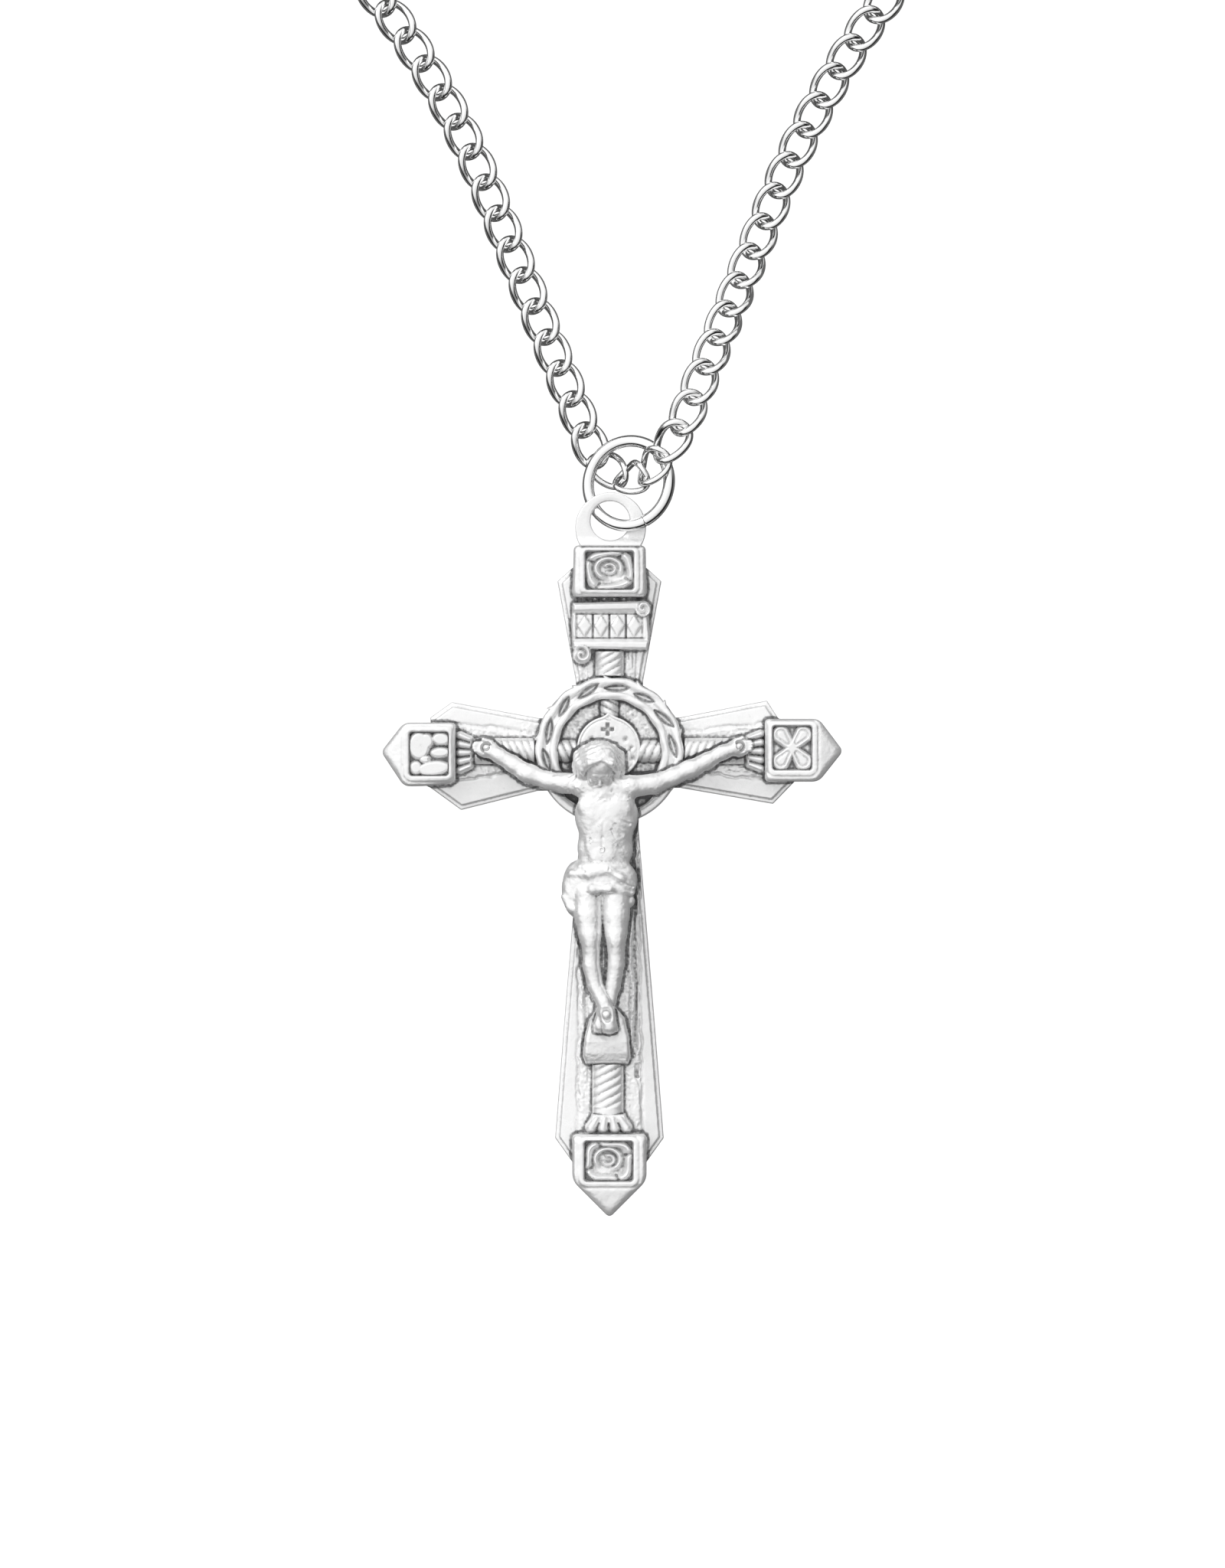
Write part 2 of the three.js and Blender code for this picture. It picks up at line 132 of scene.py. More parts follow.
def d_poly(X, Y, pts):
    """Signed distance to a closed polygon, negative inside."""
    d = np.full(X.shape, 1e9, np.float32)
    inside = np.zeros(X.shape, bool)
    n = len(pts)
    for i in range(n):
        (x0, y0), (x1, y1) = pts[i], pts[(i + 1) % n]
        ex, ey = x1 - x0, y1 - y0
        wx, wy = X - x0, Y - y0
        t = np.clip((wx * ex + wy * ey) / (ex * ex + ey * ey + 1e-12), 0, 1)
        d = np.minimum(d, (wx - ex * t) ** 2 + (wy - ey * t) ** 2)
        c = (y0 > Y) != (y1 > Y)
        if abs(ey) > 1e-12:
            inside ^= c & (X < (x1 - x0) * (Y - y0) / ey + x0)
    d = np.sqrt(d)
    return np.where(inside, -d, d).astype(np.float32)


def d_circle(X, Y, x, y, r):
    return np.hypot(X - x, Y - y) - r


def d_box(X, Y, x0, y0, x1, y1, r=0.0):
    dx = np.abs(X - (x0 + x1) / 2) - (x1 - x0) / 2 + r
    dy = np.abs(Y - (y0 + y1) / 2) - (y1 - y0) / 2 + r
    return np.hypot(np.maximum(dx, 0), np.maximum(dy, 0)) + np.minimum(np.maximum(dx, dy), 0) - r


def d_seg(X, Y, a, b, r0, r1=None):
    r1 = r0 if r1 is None else r1
    ex, ey = b[0] - a[0], b[1] - a[1]
    t = np.clip(((X - a[0]) * ex + (Y - a[1]) * ey) / (ex * ex + ey * ey), 0, 1)
    return np.hypot(X - a[0] - ex * t, Y - a[1] - ey * t) - (r0 + (r1 - r0) * t)


def d_ell(X, Y, x, y, rx, ry, turn=0.0):
    c, s = math.cos(turn), math.sin(turn)
    u, v = (X - x) * c + (Y - y) * s, -(X - x) * s + (Y - y) * c
    k0 = np.hypot(u / rx, v / ry)
    k1 = np.hypot(u / rx ** 2, v / ry ** 2) + 1e-9
    return k0 * (k0 - 1) / k1


# ------------------------------------------------------------------ meshes from fields
MADE = []


def to_mesh(name, verts_mm, quads, tris):
    me = bpy.data.meshes.new(name)
    nv, nq, nt = len(verts_mm), len(quads), len(tris)
    me.vertices.add(nv)
    me.vertices.foreach_set("co", (np.asarray(verts_mm, np.float32) * MM).ravel())
    loops = np.concatenate([np.asarray(quads, np.int32).ravel(), np.asarray(tris, np.int32).ravel()])
    me.loops.add(len(loops))
    me.loops.foreach_set("vertex_index", loops)
    starts = np.concatenate([np.arange(nq) * 4, nq * 4 + np.arange(nt) * 3]).astype(np.int32)
    totals = np.concatenate([np.full(nq, 4), np.full(nt, 3)]).astype(np.int32)
    me.polygons.add(nq + nt)
    me.polygons.foreach_set("loop_start", starts)
    me.polygons.foreach_set("loop_total", totals)
    me.update(calc_edges=True)
    me.validate()
    me.polygons.foreach_set("use_smooth", np.ones(len(me.polygons), bool))
    ob = bpy.data.objects.new(name, me)
    scene.collection.objects.link(ob)
    return ob


def field_mesh(name, F, origin, h):
    """The surface F = 0 of a field sampled at origin + h * index, as a mesh."""
    F = F.copy()
    for a in range(3):
        for e in (0, -1):
            ix = [slice(None)] * 3
            ix[a] = e
            F[tuple(ix)] = np.maximum(F[tuple(ix)], h)
    F = np.clip(F, -4 * h, 4 * h).astype(np.float32)
    g = openvdb.FloatGrid(4 * h)
    g.copyFromArray(F)
    pts, tris, quads = g.convertToPolygons(isovalue=0.0, adaptivity=0.0)
    V = np.asarray(pts) * h + np.asarray(origin)
    quads, tris = np.asarray(quads).reshape(-1, 4), np.asarray(tris).reshape(-1, 3)
    # outward winding
    if len(quads):
        a, b, c, d = (V[quads[:, k]] for k in range(4))
        vol = (np.einsum("ij,ij->i", a, np.cross(b, c)) + np.einsum("ij,ij->i", a, np.cross(c, d))).sum()
        if vol < 0:
            quads, tris = quads[:, ::-1], tris[:, ::-1]
    return to_mesh(name, V, quads, tris)


def relief(name, node, body, box, h, outline, height, z0, k=0.10, bottom=None, kind="satin"):
    """A piece with a flat back at z0, the given outline, and a modelled top surface height(X, Y)."""
    x0, y0, x1, y1 = box
    X, Y = np.meshgrid(np.arange(x0 - 3 * h, x1 + 3 * h, h, dtype=np.float32), np.arange(y0 - 3 * h, y1 + 3 * h, h, dtype=np.float32), indexing="ij")
    D, H = outline(X, Y), height(X, Y)
    B = np.full(X.shape, z0, np.float32) if bottom is None else bottom(X, Y)
    zmax = float(H[D < 0.1].max()) + 3 * h
    Z = np.arange(float(B.min()) - 3 * h, zmax, h, dtype=np.float32)
    F = smax(D[:, :, None], Z[None, None, :] - H[:, :, None], k)
    F = smax(F, B[:, :, None] - Z[None, None, :], k * 0.5)
    ob = field_mesh(name, F, (X[0, 0], Y[0, 0], Z[0]), h)
    ob["look"] = kind
    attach(ob, body)
    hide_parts(*([node] if isinstance(node, str) else node))
    MADE.append(ob)
    return ob


CROSS = "crucifix"
H1 = 0.06 if FINE else 0.12     # pitch of the large pieces, mm
H2 = 0.045 if FINE else 0.09    # pitch of the small ones

# ------------------------------------------------------------------ back plate
upper = [(-13.2, 1.7), (-11.7, 1.7), (-11.7, 2.2), (-10.3, 3.2), (-4.6, 2.15), (4.6, 2.2), (10.3, 3.3), (11.0, 2.2), (11.7, 1.7), (13.4, 1.7)]
lower = [(13.4, -1.7), (12.2, -1.9), (10.7, -3.45), (4.6, -2.4), (-4.7, -2.6), (-9.7, -3.85), (-11.7, -2.4), (-13.2, -1.7)]
across = [(-14.4, 0)] + upper + [(14.7, 0)] + lower
up_half = [(2.0, -28.0), (2.0, -26.9), (2.4, -26.9), (3.55, -25.3), (2.9, -17.0), (1.9, -5.0), (2.2, 4.6), (3.4, 11.1), (2.4, 12.0), (2.0, 12.0), (2.0, 13.1)]
post = [(0, -29.9)] + up_half + [(-x, y) for x, y in up_half[::-1]]


def plate_outline(X, Y):
    return smin(smin(d_poly(X, Y, across), d_poly(X, Y, post), 0.15), d_circle(X, Y, 0, 0, 4.7), 0.15)


def strip_d(X, Y):
    """Distance to the raised, bark-like strips down the middle of the arms."""
    wob = 0.10 * noise2(X, Y, 0.55, 3) + 0.05 * noise2(X, Y, 0.22, 4)
    hor = np.abs(Y) - (1.15 + 0.5 * sstep(5, 10, np.abs(X)))
    ver = np.abs(X) - np.where(Y < 0, 1.75 + 0.2 * sstep(-6, -24, Y), 1.55 + 0.3 * sstep(5, 10, Y))
    return np.minimum(np.where(np.abs(Y) < 4, hor, 9), ver) + wob


def plate_height(X, Y):
    D = plate_outline(X, Y)
    s = strip_d(X, Y)
    on = sstep(0.05, -0.08, s)
    wing = 1.17 - 0.07 * np.clip(s, 0, 2.2)                      # the wings fall away from the strip
    wing -= 0.16 * sstep(-0.34, -0.24, D)                         # a narrow bevel along the edge
    wing -= 0.09 * np.exp(-((s - 0.16) / 0.09) ** 2)              # the line beside the strip
    grain = 0.022 * noise2(X, Y, 0.16, 7) + 0.016 * noise2(X, Y, 0.09, 8)
    bark = 1.235 + 1.5 * grain - 0.02 - 0.05 * sstep(0.35, 0.7, noise2(X, Y, 0.11, 15)) * sstep(-4.5, -6, Y) * sstep(-21.5, -20.0, Y)
    along = np.where(np.abs(Y) < 3.0, Y, X)
    bark -= 0.07 * sstep(0.2, 0.75, noise2(np.where(np.abs(Y) < 3, X * 0.16, X), np.where(np.abs(Y) < 3, Y, Y * 0.16), 0.2, 9)) 
    near = sstep(7.5, 4.8, np.hypot(X, Y)) * (1 - on)
    wing += near * grain * 1.6
    # deep channels beside the figure on the post
    low = sstep(-4.5, -7, Y) * sstep(-20.2, -18.6, Y)
    wob = 0.12 * noise2(X, Y, 1.4, 12)
    bark -= low * (0.30 * np.exp(-((X - 1.72 + wob) / 0.17) ** 2) + 0.16 * np.exp(-((X + 1.62 + wob) / 0.14) ** 2) + 0.14 * np.exp(-((X - 1.30 + wob) / 0.1) ** 2))
    bark -= 0.20 * sstep(0.05, -0.05, d_box(X, Y, 1.66, -21.35, 2.36, -20.42, 0.05))            # small sunk step beside the block
    bark -= 0.14 * np.exp(-(d_seg(X, Y, (2.1, -14.5), (2.36, -19.3), 0.02) / 0.10) ** 2)          # groove above it
    return np.where(s < -0.03, bark, wing * (1 - on) + bark * on).astype(np.float32)


relief("plate", "cross_plate", CROSS, (-14.4, -29.9, 14.7, 13.1), H1, plate_outline, plate_height, 0.0, k=0.12)


# ------------------------------------------------------------------ round boss
def rope(u, v, half, top, pitch, lean, deep=0.13):
    """Height of a half-round rod along u with its twist ridges; v is across."""
    c = np.sqrt(np.clip(1 - (v / half) ** 2, 0, 1))
    ph = (u + lean * v) / pitch
    r = np.abs(np.cos(math.pi * ph)) ** 0.6
    return top * c * (1 - deep) + deep * top * 1.15 * (r - 0.15) * np.clip(c * 1.6, 0, 1)


def disc_height(X, Y):
    base = 1.62 + 0.03 * noise2(X, Y, 0.17, 21) + 0.02 * noise2(X, Y, 0.10, 22)
    R = np.hypot(X, Y)
    inner = R < 3.55
    hr = 1.25 + rope(X, Y, 0.84, 0.95, 0.52, np.where(X < 0, 0.45, -0.45))
    tr = 1.25 + rope(Y, X, 0.68, 0.95, 0.5, 0.5)
    base = np.where(inner & (np.abs(Y) < 0.84) & (hr > base), hr, base)
    base = np.where(inner & (Y > 2.0) & (np.abs(X) < 0.68) & (tr > base), tr, base)
    return base


relief("boss_ground", "halo_disc", CROSS, (-4.8, -4.8, 4.8, 4.8), H2, lambda X, Y: d_circle(X, Y, 0, 0, 4.8), disc_height, 1.25, k=0.08)


def wreath(X, Y):
    """Ring of interlaced thorn stems: outline distance and top height."""
    R, P = np.hypot(X, Y), np.arctan2(Y, X)
    lower_part = sstep(0.45, 0.75, -np.sin(P))                       # the plain rim under the figure
    inner_edge = 3.38 + 0.035 * np.cos(13.74 * P + 1.2) + 0.75 * lower_part
    outer_edge = 4.80 + 0.05 * np.cos(14 * P + 0.3) * (1 - lower_part)
    D = np.maximum(R - outer_edge, inner_edge - R)
    for k in range(14):                                               # thorn tips
        t = 2 * math.pi * (k + 0.5) / 14
        if math.sin(t) < -0.45:
            continue
        a = (4.62 * math.cos(t), 4.62 * math.sin(t))
        b = (5.0 * math.cos(t + 0.09), 5.0 * math.sin(t + 0.09))
        D = smin(D, np.maximum(d_seg(X, Y, a, b, 0.13, 0.02), R - 4.93), 0.08)
    H = 2.16 + 0.20 * np.sqrt(np.clip(1 - ((R - 4.55) / 0.34) ** 2, 0, 1)) + 0.16 * np.sqrt(np.clip(1 - ((R - 3.62) / 0.27) ** 2, 0, 1)) * (1 - lower_part)
    for k in range(14):
        t = math.radians(4.5 + 26.2 * k)
        if math.sin(t) < -0.55 or k > 12:
            continue
        cx, cy = 4.15 * math.cos(t), 4.15 * math.sin(t)
        tilt = t + math.pi / 2 + 0.23 + 0.10 * math.sin(k * 1.7)
        u = (X - cx) * math.cos(tilt) + (Y - cy) * math.sin(tilt)
        v = -(X - cx) * math.sin(tilt) + (Y - cy) * math.cos(tilt)
        half = 0.84 + 0.08 * math.sin(k * 2.3)
        wide = 0.255 * np.clip(1 - (u / half) ** 2, 0, 1)
        hole = np.abs(v) - wide
        body = 0.17 * np.exp(-((np.abs(v) - 0.42) / 0.2) ** 2) * np.exp(-(u / 0.9) ** 2)
        H = H + body * 0.6
        floor = 1.84 + 0.10 * np.exp(-(v / 0.06) ** 2)
        w = sstep(0.05, -0.05, hole) * (np.abs(u) < half)
        H = H * (1 - w) + np.minimum(H, floor) * w
    H += 0.014 * noise2(X, Y, 0.3, 33)
    return D, np.clip(H, 1.8, 2.48)


relief("thorn_wreath", "thorn_band", CROSS, (-4.95, -4.95, 4.95, 4.95), H2, lambda X, Y: wreath(X, Y)[0], lambda X, Y: wreath(X, Y)[1], 1.75, k=0.16)


def medal_outline(X, Y):
    d = d_circle(X, Y, -0.05, 0.2, 2.06)
    tip = np.maximum(np.abs(X + 0.02) * 0.83 + (Y - 2.62) * 0.56, -(Y - 1.2))
    return smin(d, tip, 0.3)


def medal_height(X, Y):
    D = medal_outline(X, Y)
    H = 2.16 - 0.05 * sstep(-0.28, -0.18, D) + 0.07 * sstep(-0.2, -0.12, D) + 0.012 * noise2(X, Y, 0.2, 31)
    x, y = X + 0.12, Y - 1.42
    cross = np.minimum(np.maximum(np.abs(x) - 0.40, np.abs(y) - 0.10), np.maximum(np.abs(x) - 0.10, np.abs(y) - 0.40))
    H = H - 0.28 * sstep(0.05, -0.04, cross)
    for cx, cy in ((-1.15, 0.75), (1.05, 0.75), (-1.45, 0.15), (1.4, 0.15), (1.5, -0.5), (-1.5, -0.5)):     # plain dimples
        H = H - 0.16 * np.exp(-(((X - cx) / 0.14) ** 2 + ((Y - cy) / 0.17) ** 2))
    return H


relief("nimbus", "nimbus_medallion", CROSS, (-2.2, -1.95, 2.1, 2.8), H2, medal_outline, medal_height, 1.75, k=0.07)


# ------------------------------------------------------------------ rods
def rod(name, node, x0, y0, x1, y1, horizontal, half, top, pitch, lean, band=None):
    mx, my = (x0 + x1) / 2, (y0 + y1) / 2

    def out(X, Y):
        return d_box(X, Y, x0, y0, x1, y1, 0.05)

    def hgt(X, Y):
        u, v = (X, Y - my) if horizontal else (Y, X - mx)
        H = 1.25 + rope(u, v, half, top, pitch, lean)
        if band is not None:
            c = np.sqrt(np.clip(1 - (v / half) ** 2, 0, 1))
            w = sstep(0.28, 0.2, np.abs(u - band))
            H = H * (1 - w) + (1.25 + top * c * 0.97) * w
        return np.maximum(H, 1.27)

    relief(name, node, CROSS, (x0, y0, x1, y1), H2, out, hgt, 1.25, k=0.05)


rod("rope_left", "rod_left", -8.78, -0.87, -4.9, 0.87, True, 0.87, 0.87, 0.44, 0.34)
rod("rope_right", "rod_right", 4.9, -0.87, 8.78, 0.87, True, 0.87, 0.87, 0.46, -0.34)
rod("rope_top", "rod_top", -0.95, 4.92, 0.95, 6.5, False, 0.95, 0.87, 0.50, -0.5)
rod("rope_bottom", "rod_bottom", -1.12, -23.78, 0.92, -20.42, False, 1.08, 0.87, 0.56, -0.50, band=-23.55)


# ------------------------------------------------------------------ pronged collars
def prongs(name, node, box, segs, z_top, extra=None):
    def out(X, Y):
        d = None
        for a, b, r in segs:
            e = d_seg(X, Y, a, b, r, r * 1.12)
            d = e if d is None else np.minimum(d, e)
        if extra is not None:
            d = smin(d, extra(X, Y), 0.05)
        return np.maximum(d, d_box(X, Y, *box, 0.02))

    def hgt(X, Y):
        H = np.full(X.shape, 1.3, np.float32)
        for a, b, r in segs:
            e = -d_seg(X, Y, a, b, r, r * 1.12)
            H = np.maximum(H, 1.3 + (z_top - 1.3) * np.sqrt(np.clip(e / r, 0, 1) * (2 - np.clip(e / r, 0, 1))))
        if extra is not None:
            H = np.maximum(H, 1.3 + (z_top - 1.45) * sstep(0, -0.14, extra(X, Y)))
        return H

    relief(name, node, CROSS, box, H2, out, hgt, 1.25, k=0.05)


def fan(cx, cy, dx, dy, half0, half1, length, r, steps):
    """Petal prongs starting on a line through (cx, cy) and running along (dx, dy)."""
    px, py = -dy, dx
    segs = []
    for t in steps:
        a = (cx + px * half0 * t, cy + py * half0 * t)
        b = (cx + dx * length + px * half1 * t, cy + dy * length + py * half1 * t)
        segs.append((a, b, r))
    return segs


FIVE, FOUR = (-1, -0.5, 0, 0.5, 1), (-1, -0.33, 0.33, 1)
prongs("collar_left", "claw_left", (-10.0, -1.6, -8.86, 1.6), fan(-9.1, -0.1, -1, 0, 0.88, 1.14, 0.64, 0.25, FIVE), 2.3,
       lambda X, Y: d_box(X, Y, -9.2, -1.12, -8.88, 1.0, 0.12))
prongs("collar_right", "claw_right", (8.86, -1.6, 10.1, 1.6), fan(9.14, 0.0, 1, 0, 0.88, 1.14, 0.72, 0.25, FIVE), 2.3,
       lambda X, Y: d_box(X, Y, 8.88, -1.05, 9.22, 1.05, 0.12))
prongs("collar_bottom", "claw_bottom", (-1.62, -24.93, 1.52, -23.6), fan(-0.05, -24.0, 0, -1, 0.80, 1.16, 0.56, 0.36, FOUR), 2.3,
       lambda X, Y: d_poly(X, Y, [(-1.15, -23.62), (1.05, -23.62), (1.32, -24.35), (-1.42, -24.35)]))
prongs("collar_top", "claw_top", (-1.9, 9.84, 1.9, 10.02), [((t, 9.93), (t + 0.01, 9.93), 0.085) for t in (-0.95, -0.35, 0.3, 0.95)], 2.2,
       lambda X, Y: d_box(X, Y, -1.8, 9.95, 1.8, 10.02, 0.01))


# ------------------------------------------------------------------ box ends
def d_soft(X, Y, pts, k):
    """Distance to a convex outline whose corners are rounded by k."""
    n, d = len(pts), None
    cx, cy = sum(p[0] for p in pts) / n, sum(p[1] for p in pts) / n
    for i in range(n):
        (ax, ay), (bx, by) = pts[i], pts[(i + 1) % n]
        ex, ey = bx - ax, by - ay
        L = math.hypot(ex, ey)
        nx, ny = ey / L, -ex / L
        if nx * (cx - ax) + ny * (cy - ay) > 0:
            nx, ny = -nx, -ny
        e = nx * (X - ax) + ny * (Y - ay)
        d = e if d is None else smax(d, e, k)
    return d


def cap(name, node, outline, pocket, slope):
    xs, ys = [p[0] for p in outline], [p[1] for p in outline]

    def out(X, Y):
        return d_soft(X, Y, outline, 0.35)

    def hgt(X, Y):
        D = out(X, Y)
        P = d_box(X, Y, *pocket, 0.2)
        H = 2.99 - slope(X, Y) - 0.42 * (1 - np.sqrt(np.clip(1 - np.clip((D + 0.5) / 0.5, 0, 1) ** 2, 0, 1)))
        frame = P + 0.0
        H -= 0.07 * sstep(0.10, -0.02, frame)                             # soft inner lip
        H -= 0.05 * np.exp(-((frame - 0.42) / 0.10) ** 2)                 # shallow line round the frame
        H += 0.014 * noise2(X, Y, 0.5, 41) + 0.008 * noise2(X, Y, 0.16, 43)
        floor = 2.27 + 0.015 * noise2(X, Y, 0.12, 42)
        w = sstep(0.03, -0.06, P)
        return H * (1 - w) + floor * w

    relief(name, node, CROSS, (min(xs), min(ys), max(xs), max(ys)), H2, out, hgt, 1.25, k=0.09)


cap("box_left", "end_cap_left", [(-10.05, -2.05), (-10.05, 1.85), (-13.4, 1.85), (-14.9, -0.05), (-13.4, -2.3), (-11.2, -2.3)], (-13.05, -1.62, -10.47, 1.25),
    lambda X, Y: 0.26 * np.clip(-13.35 - X, 0, 2))
cap("box_right", "end_cap_right", [(10.15, -2), (13.65, -2), (15.25, 0), (13.65, 2.1), (10.15, 2.1)], (10.62, -1.25, 13.2, 1.65),
    lambda X, Y: 0.26 * np.clip(X - 13.5, 0, 2))
cap("box_top", "end_cap_top", [(-2.42, 10.06), (2.42, 10.06), (2.36, 13.4), (-2.32, 13.4)], (-1.6, 10.5, 1.6, 13.05),
    lambda X, Y: 0.10 * np.clip(np.abs(X) - 1.7, 0, 2))
cap("box_bottom", "end_cap_bottom", [(-2.42, -25.0), (-2.42, -28.0), (0, -30.45), (2.42, -28.0), (2.42, -25.0)], (-1.65, -28.05, 1.55, -25.4),
    lambda X, Y: 0.20 * np.clip(-28.2 - Y, 0, 3))


# ------------------------------------------------------------------ reliefs in the box ends
def motif(name, node, box, field):
    """field gives (outline, height above the panel floor)."""
    relief(name, node, CROSS, box, H2 * 0.8, lambda X, Y: field(X, Y)[0], lambda X, Y: 2.27 + field(X, Y)[1], 2.25, k=0.05)


def dome(d, r, top):
    t = np.clip(-d / r, 0, 1)
    return top * np.sqrt(t * (2 - t))


def leaves(X, Y):
    lobes = [(-12.40, 0.34, 0.76, 0.96, 0.0), (-11.90, 0.66, 0.50, 0.58, 0.3), (-10.98, 0.78, 0.64, 0.50, -0.1), (-11.04, -0.10, 0.70, 0.40, 0.05),
             (-11.45, -1.12, 1.10, 0.54, 0.10), (-12.60, -1.08, 0.48, 0.50, 0.5), (-12.0, -0.55, 0.44, 0.34, 0.0)]
    D, H = None, np.zeros(X.shape, np.float32) + 0.04
    for x, y, rx, ry, t in lobes:
        e = d_ell(X, Y, x, y, rx, ry, t)
        D = e if D is None else smin(D, e, 0.04)
        H = np.maximum(H, dome(e, 0.24, 0.60))
    H -= 0.16 * np.exp(-(d_seg(X, Y, (-11.6, 0.32), (-10.75, 0.36), 0.0) / 0.07) ** 2)
    H -= 0.16 * np.exp(-(d_seg(X, Y, (-11.75, -0.55), (-10.75, -0.50), 0.0) / 0.07) ** 2)
    return np.maximum(D, d_box(X, Y, -13.0, -1.57, -10.52, 1.2, 0.15)), np.maximum(H, 0.03)


def petals4(X, Y):
    cx, cy = 11.91, 0.20
    D, H = None, np.zeros(X.shape, np.float32) + 0.04
    for sx in (-1, 1):
        for sy in (-1, 1):
            a, b = (cx + 0.1 * sx, cy + 0.12 * sy), (cx + 0.72 * sx, cy + 0.86 * sy)
            e = d_seg(X, Y, a, b, 0.36, 0.62)
            D = e if D is None else smin(D, e, 0.05)
            inner = d_seg(X, Y, (cx + 0.3 * sx, cy + 0.36 * sy), b, 0.12, 0.30)
            H = np.maximum(H, dome(e, 0.22, 0.58) - 0.10 * np.exp(-(inner / 0.06) ** 2) * sstep(0.05, -0.1, e))
    e = d_circle(X, Y, cx, cy, 0.16)
    H = np.maximum(H, dome(e, 0.16, 0.58))
    return np.maximum(np.minimum(D, e), d_box(X, Y, 10.68, -1.2, 13.15, 1.6, 0.2)), H


def rose(cx, cy, rx, ry, turn):
    def f(X, Y):
        u, v = (X - cx) / rx, (Y - cy) / ry
        P = np.arctan2(v, u)
        R = (np.abs(u) ** 3.2 + np.abs(v) ** 3.2) ** (1 / 3.2)
        R = R * sstep(0.2, 0.9, R) + np.hypot(u, v) * (1 - sstep(0.2, 0.9, R))
        q = P + turn
        s = (rx + ry) / 2
        outer = (R - 1.0 - 0.03 * np.cos(6 * q)) * s
        H = np.zeros(X.shape, np.float32) + 0.14
        H = H + 0.46 * np.exp(-((R - 0.83 - 0.03 * np.cos(4 * q)) / 0.15) ** 2)              # outer petals
        H = H - 0.34 * np.exp(-(np.sin(2 * q + 0.5) / 0.16) ** 2) * sstep(0.62, 0.72, R) * sstep(0.98, 0.90, R) * 0.8
        R2 = np.hypot(u + 0.04, v - 0.10)
        a2 = np.arctan2(v - 0.10, u + 0.04) + turn
        H = np.maximum(H, 0.14 + 0.44 * np.exp(-((R2 - 0.50) / 0.11) ** 2) * sstep(-0.98, -0.6, np.cos(a2 - 2.2)))
        H = np.maximum(H, 0.12 + 0.42 * np.exp(-((R2 - 0.22 - 0.05 * np.cos(a2)) / 0.09) ** 2) * sstep(-0.9, -0.5, np.cos(a2 - 0.6)))
        H = np.minimum(H, 0.60) * sstep(0.03, -0.10, outer) + 0.03
        return outer, H
    return f


motif("relief_leaves", "relief_left", (-13.02, -1.6, -10.5, 1.22), leaves)
motif("relief_petals", "relief_right", (10.66, -1.22, 13.17, 1.62), petals4)
motif("relief_rose_top", "relief_top", (-1.56, 10.54, 1.56, 13.0), rose(0.0, 11.77, 1.62, 1.30, 0.3))
motif("relief_rose_bottom", "relief_bottom", (-1.61, -28.02, 1.51, -25.44), rose(-0.05, -26.73, 1.62, 1.35, 0.9))


# ------------------------------------------------------------------ scroll tablet
sheet = [(-2.4, 6.7), (2.5, 6.62), (2.66, 7.4), (2.5, 9.2), (2.3, 9.78), (-2.38, 9.66), (-2.5, 8.2)]


def scroll_outline(X, Y):
    d = d_poly(X, Y, sheet)
    d = smin(d, d_circle(X, Y, -1.8, 6.3, 0.6), 0.2)
    return smin(d, d_circle(X, Y, 2.2, 9.28, 0.50), 0.1)


def scroll_height(X, Y):
    D = scroll_outline(X, Y)
    H = 2.02 + 0.05 * np.cos((X + 0.2) * 0.9) + 0.01 * noise2(X, Y, 0.3, 51)
    top = sstep(9.0, 9.32, Y - 0.02 * X)
    low = sstep(7.28, 7.05, Y)
    H = H + 0.20 * top + 0.17 * low                         # the two rolled rims
    H -= 0.14 * np.exp(-((Y - 8.98) / 0.06) ** 2) * (np.abs(X) < 2.35) + 0.14 * np.exp(-((Y - 7.36) / 0.06) ** 2) * (np.abs(X) < 2.35)
    field = (Y > 7.36) & (Y < 8.96)
    ground = np.zeros(X.shape, np.float32)
    for cx in (-1.62, -0.54, 0.54, 1.62):                    # a plain row of lozenges
        loz = np.abs(X - cx) / 0.42 + np.abs(Y - 8.16) / 0.66 - 1
        ground = np.maximum(ground, sstep(0.14, -0.02, loz))
        H = np.where(field, H + 0.05 * sstep(0.1, -0.5, loz), H)
        H = np.where(field, H - 0.12 * np.exp(-((np.abs(X - cx) - 0.54) / 0.05) ** 2), H)
    H = np.where(field, H - 0.15 * (1 - ground) * sstep(2.2, 2.1, np.abs(X)), H)
    c1 = np.hypot(X + 1.8, Y - 6.3)
    a1 = np.arctan2(Y - 6.3, X + 1.8)
    curl = 2.26 + 0.16 * np.cos(c1 / 0.6 * 8.2 - a1)
    H = np.where(c1 < 0.58, curl, H)
    c2 = np.hypot(X - 2.2, Y - 9.28)
    curl2 = 2.33 + 0.13 * np.cos(c2 / 0.5 * 7.0 + np.arctan2(Y - 9.28, X - 2.2))
    H = np.where((c2 < 0.5), curl2, H)
    return (H - 0.12 * sstep(-0.16, -0.01, D)).astype(np.float32)


relief("tablet", "title_scroll", CROSS, (-2.55, 5.65, 2.75, 9.8), H2, scroll_outline, scroll_height, 1.25, k=0.07)


# ------------------------------------------------------------------ foot rest
bracket = [(-1.74, -19.9), (-1.60, -18.6), (-1.30, -17.5), (-0.85, -16.9), (0.40, -16.75), (0.98, -17.4), (1.25, -18.6), (1.38, -19.9), (1.22, -20.42), (-1.55, -20.42)]


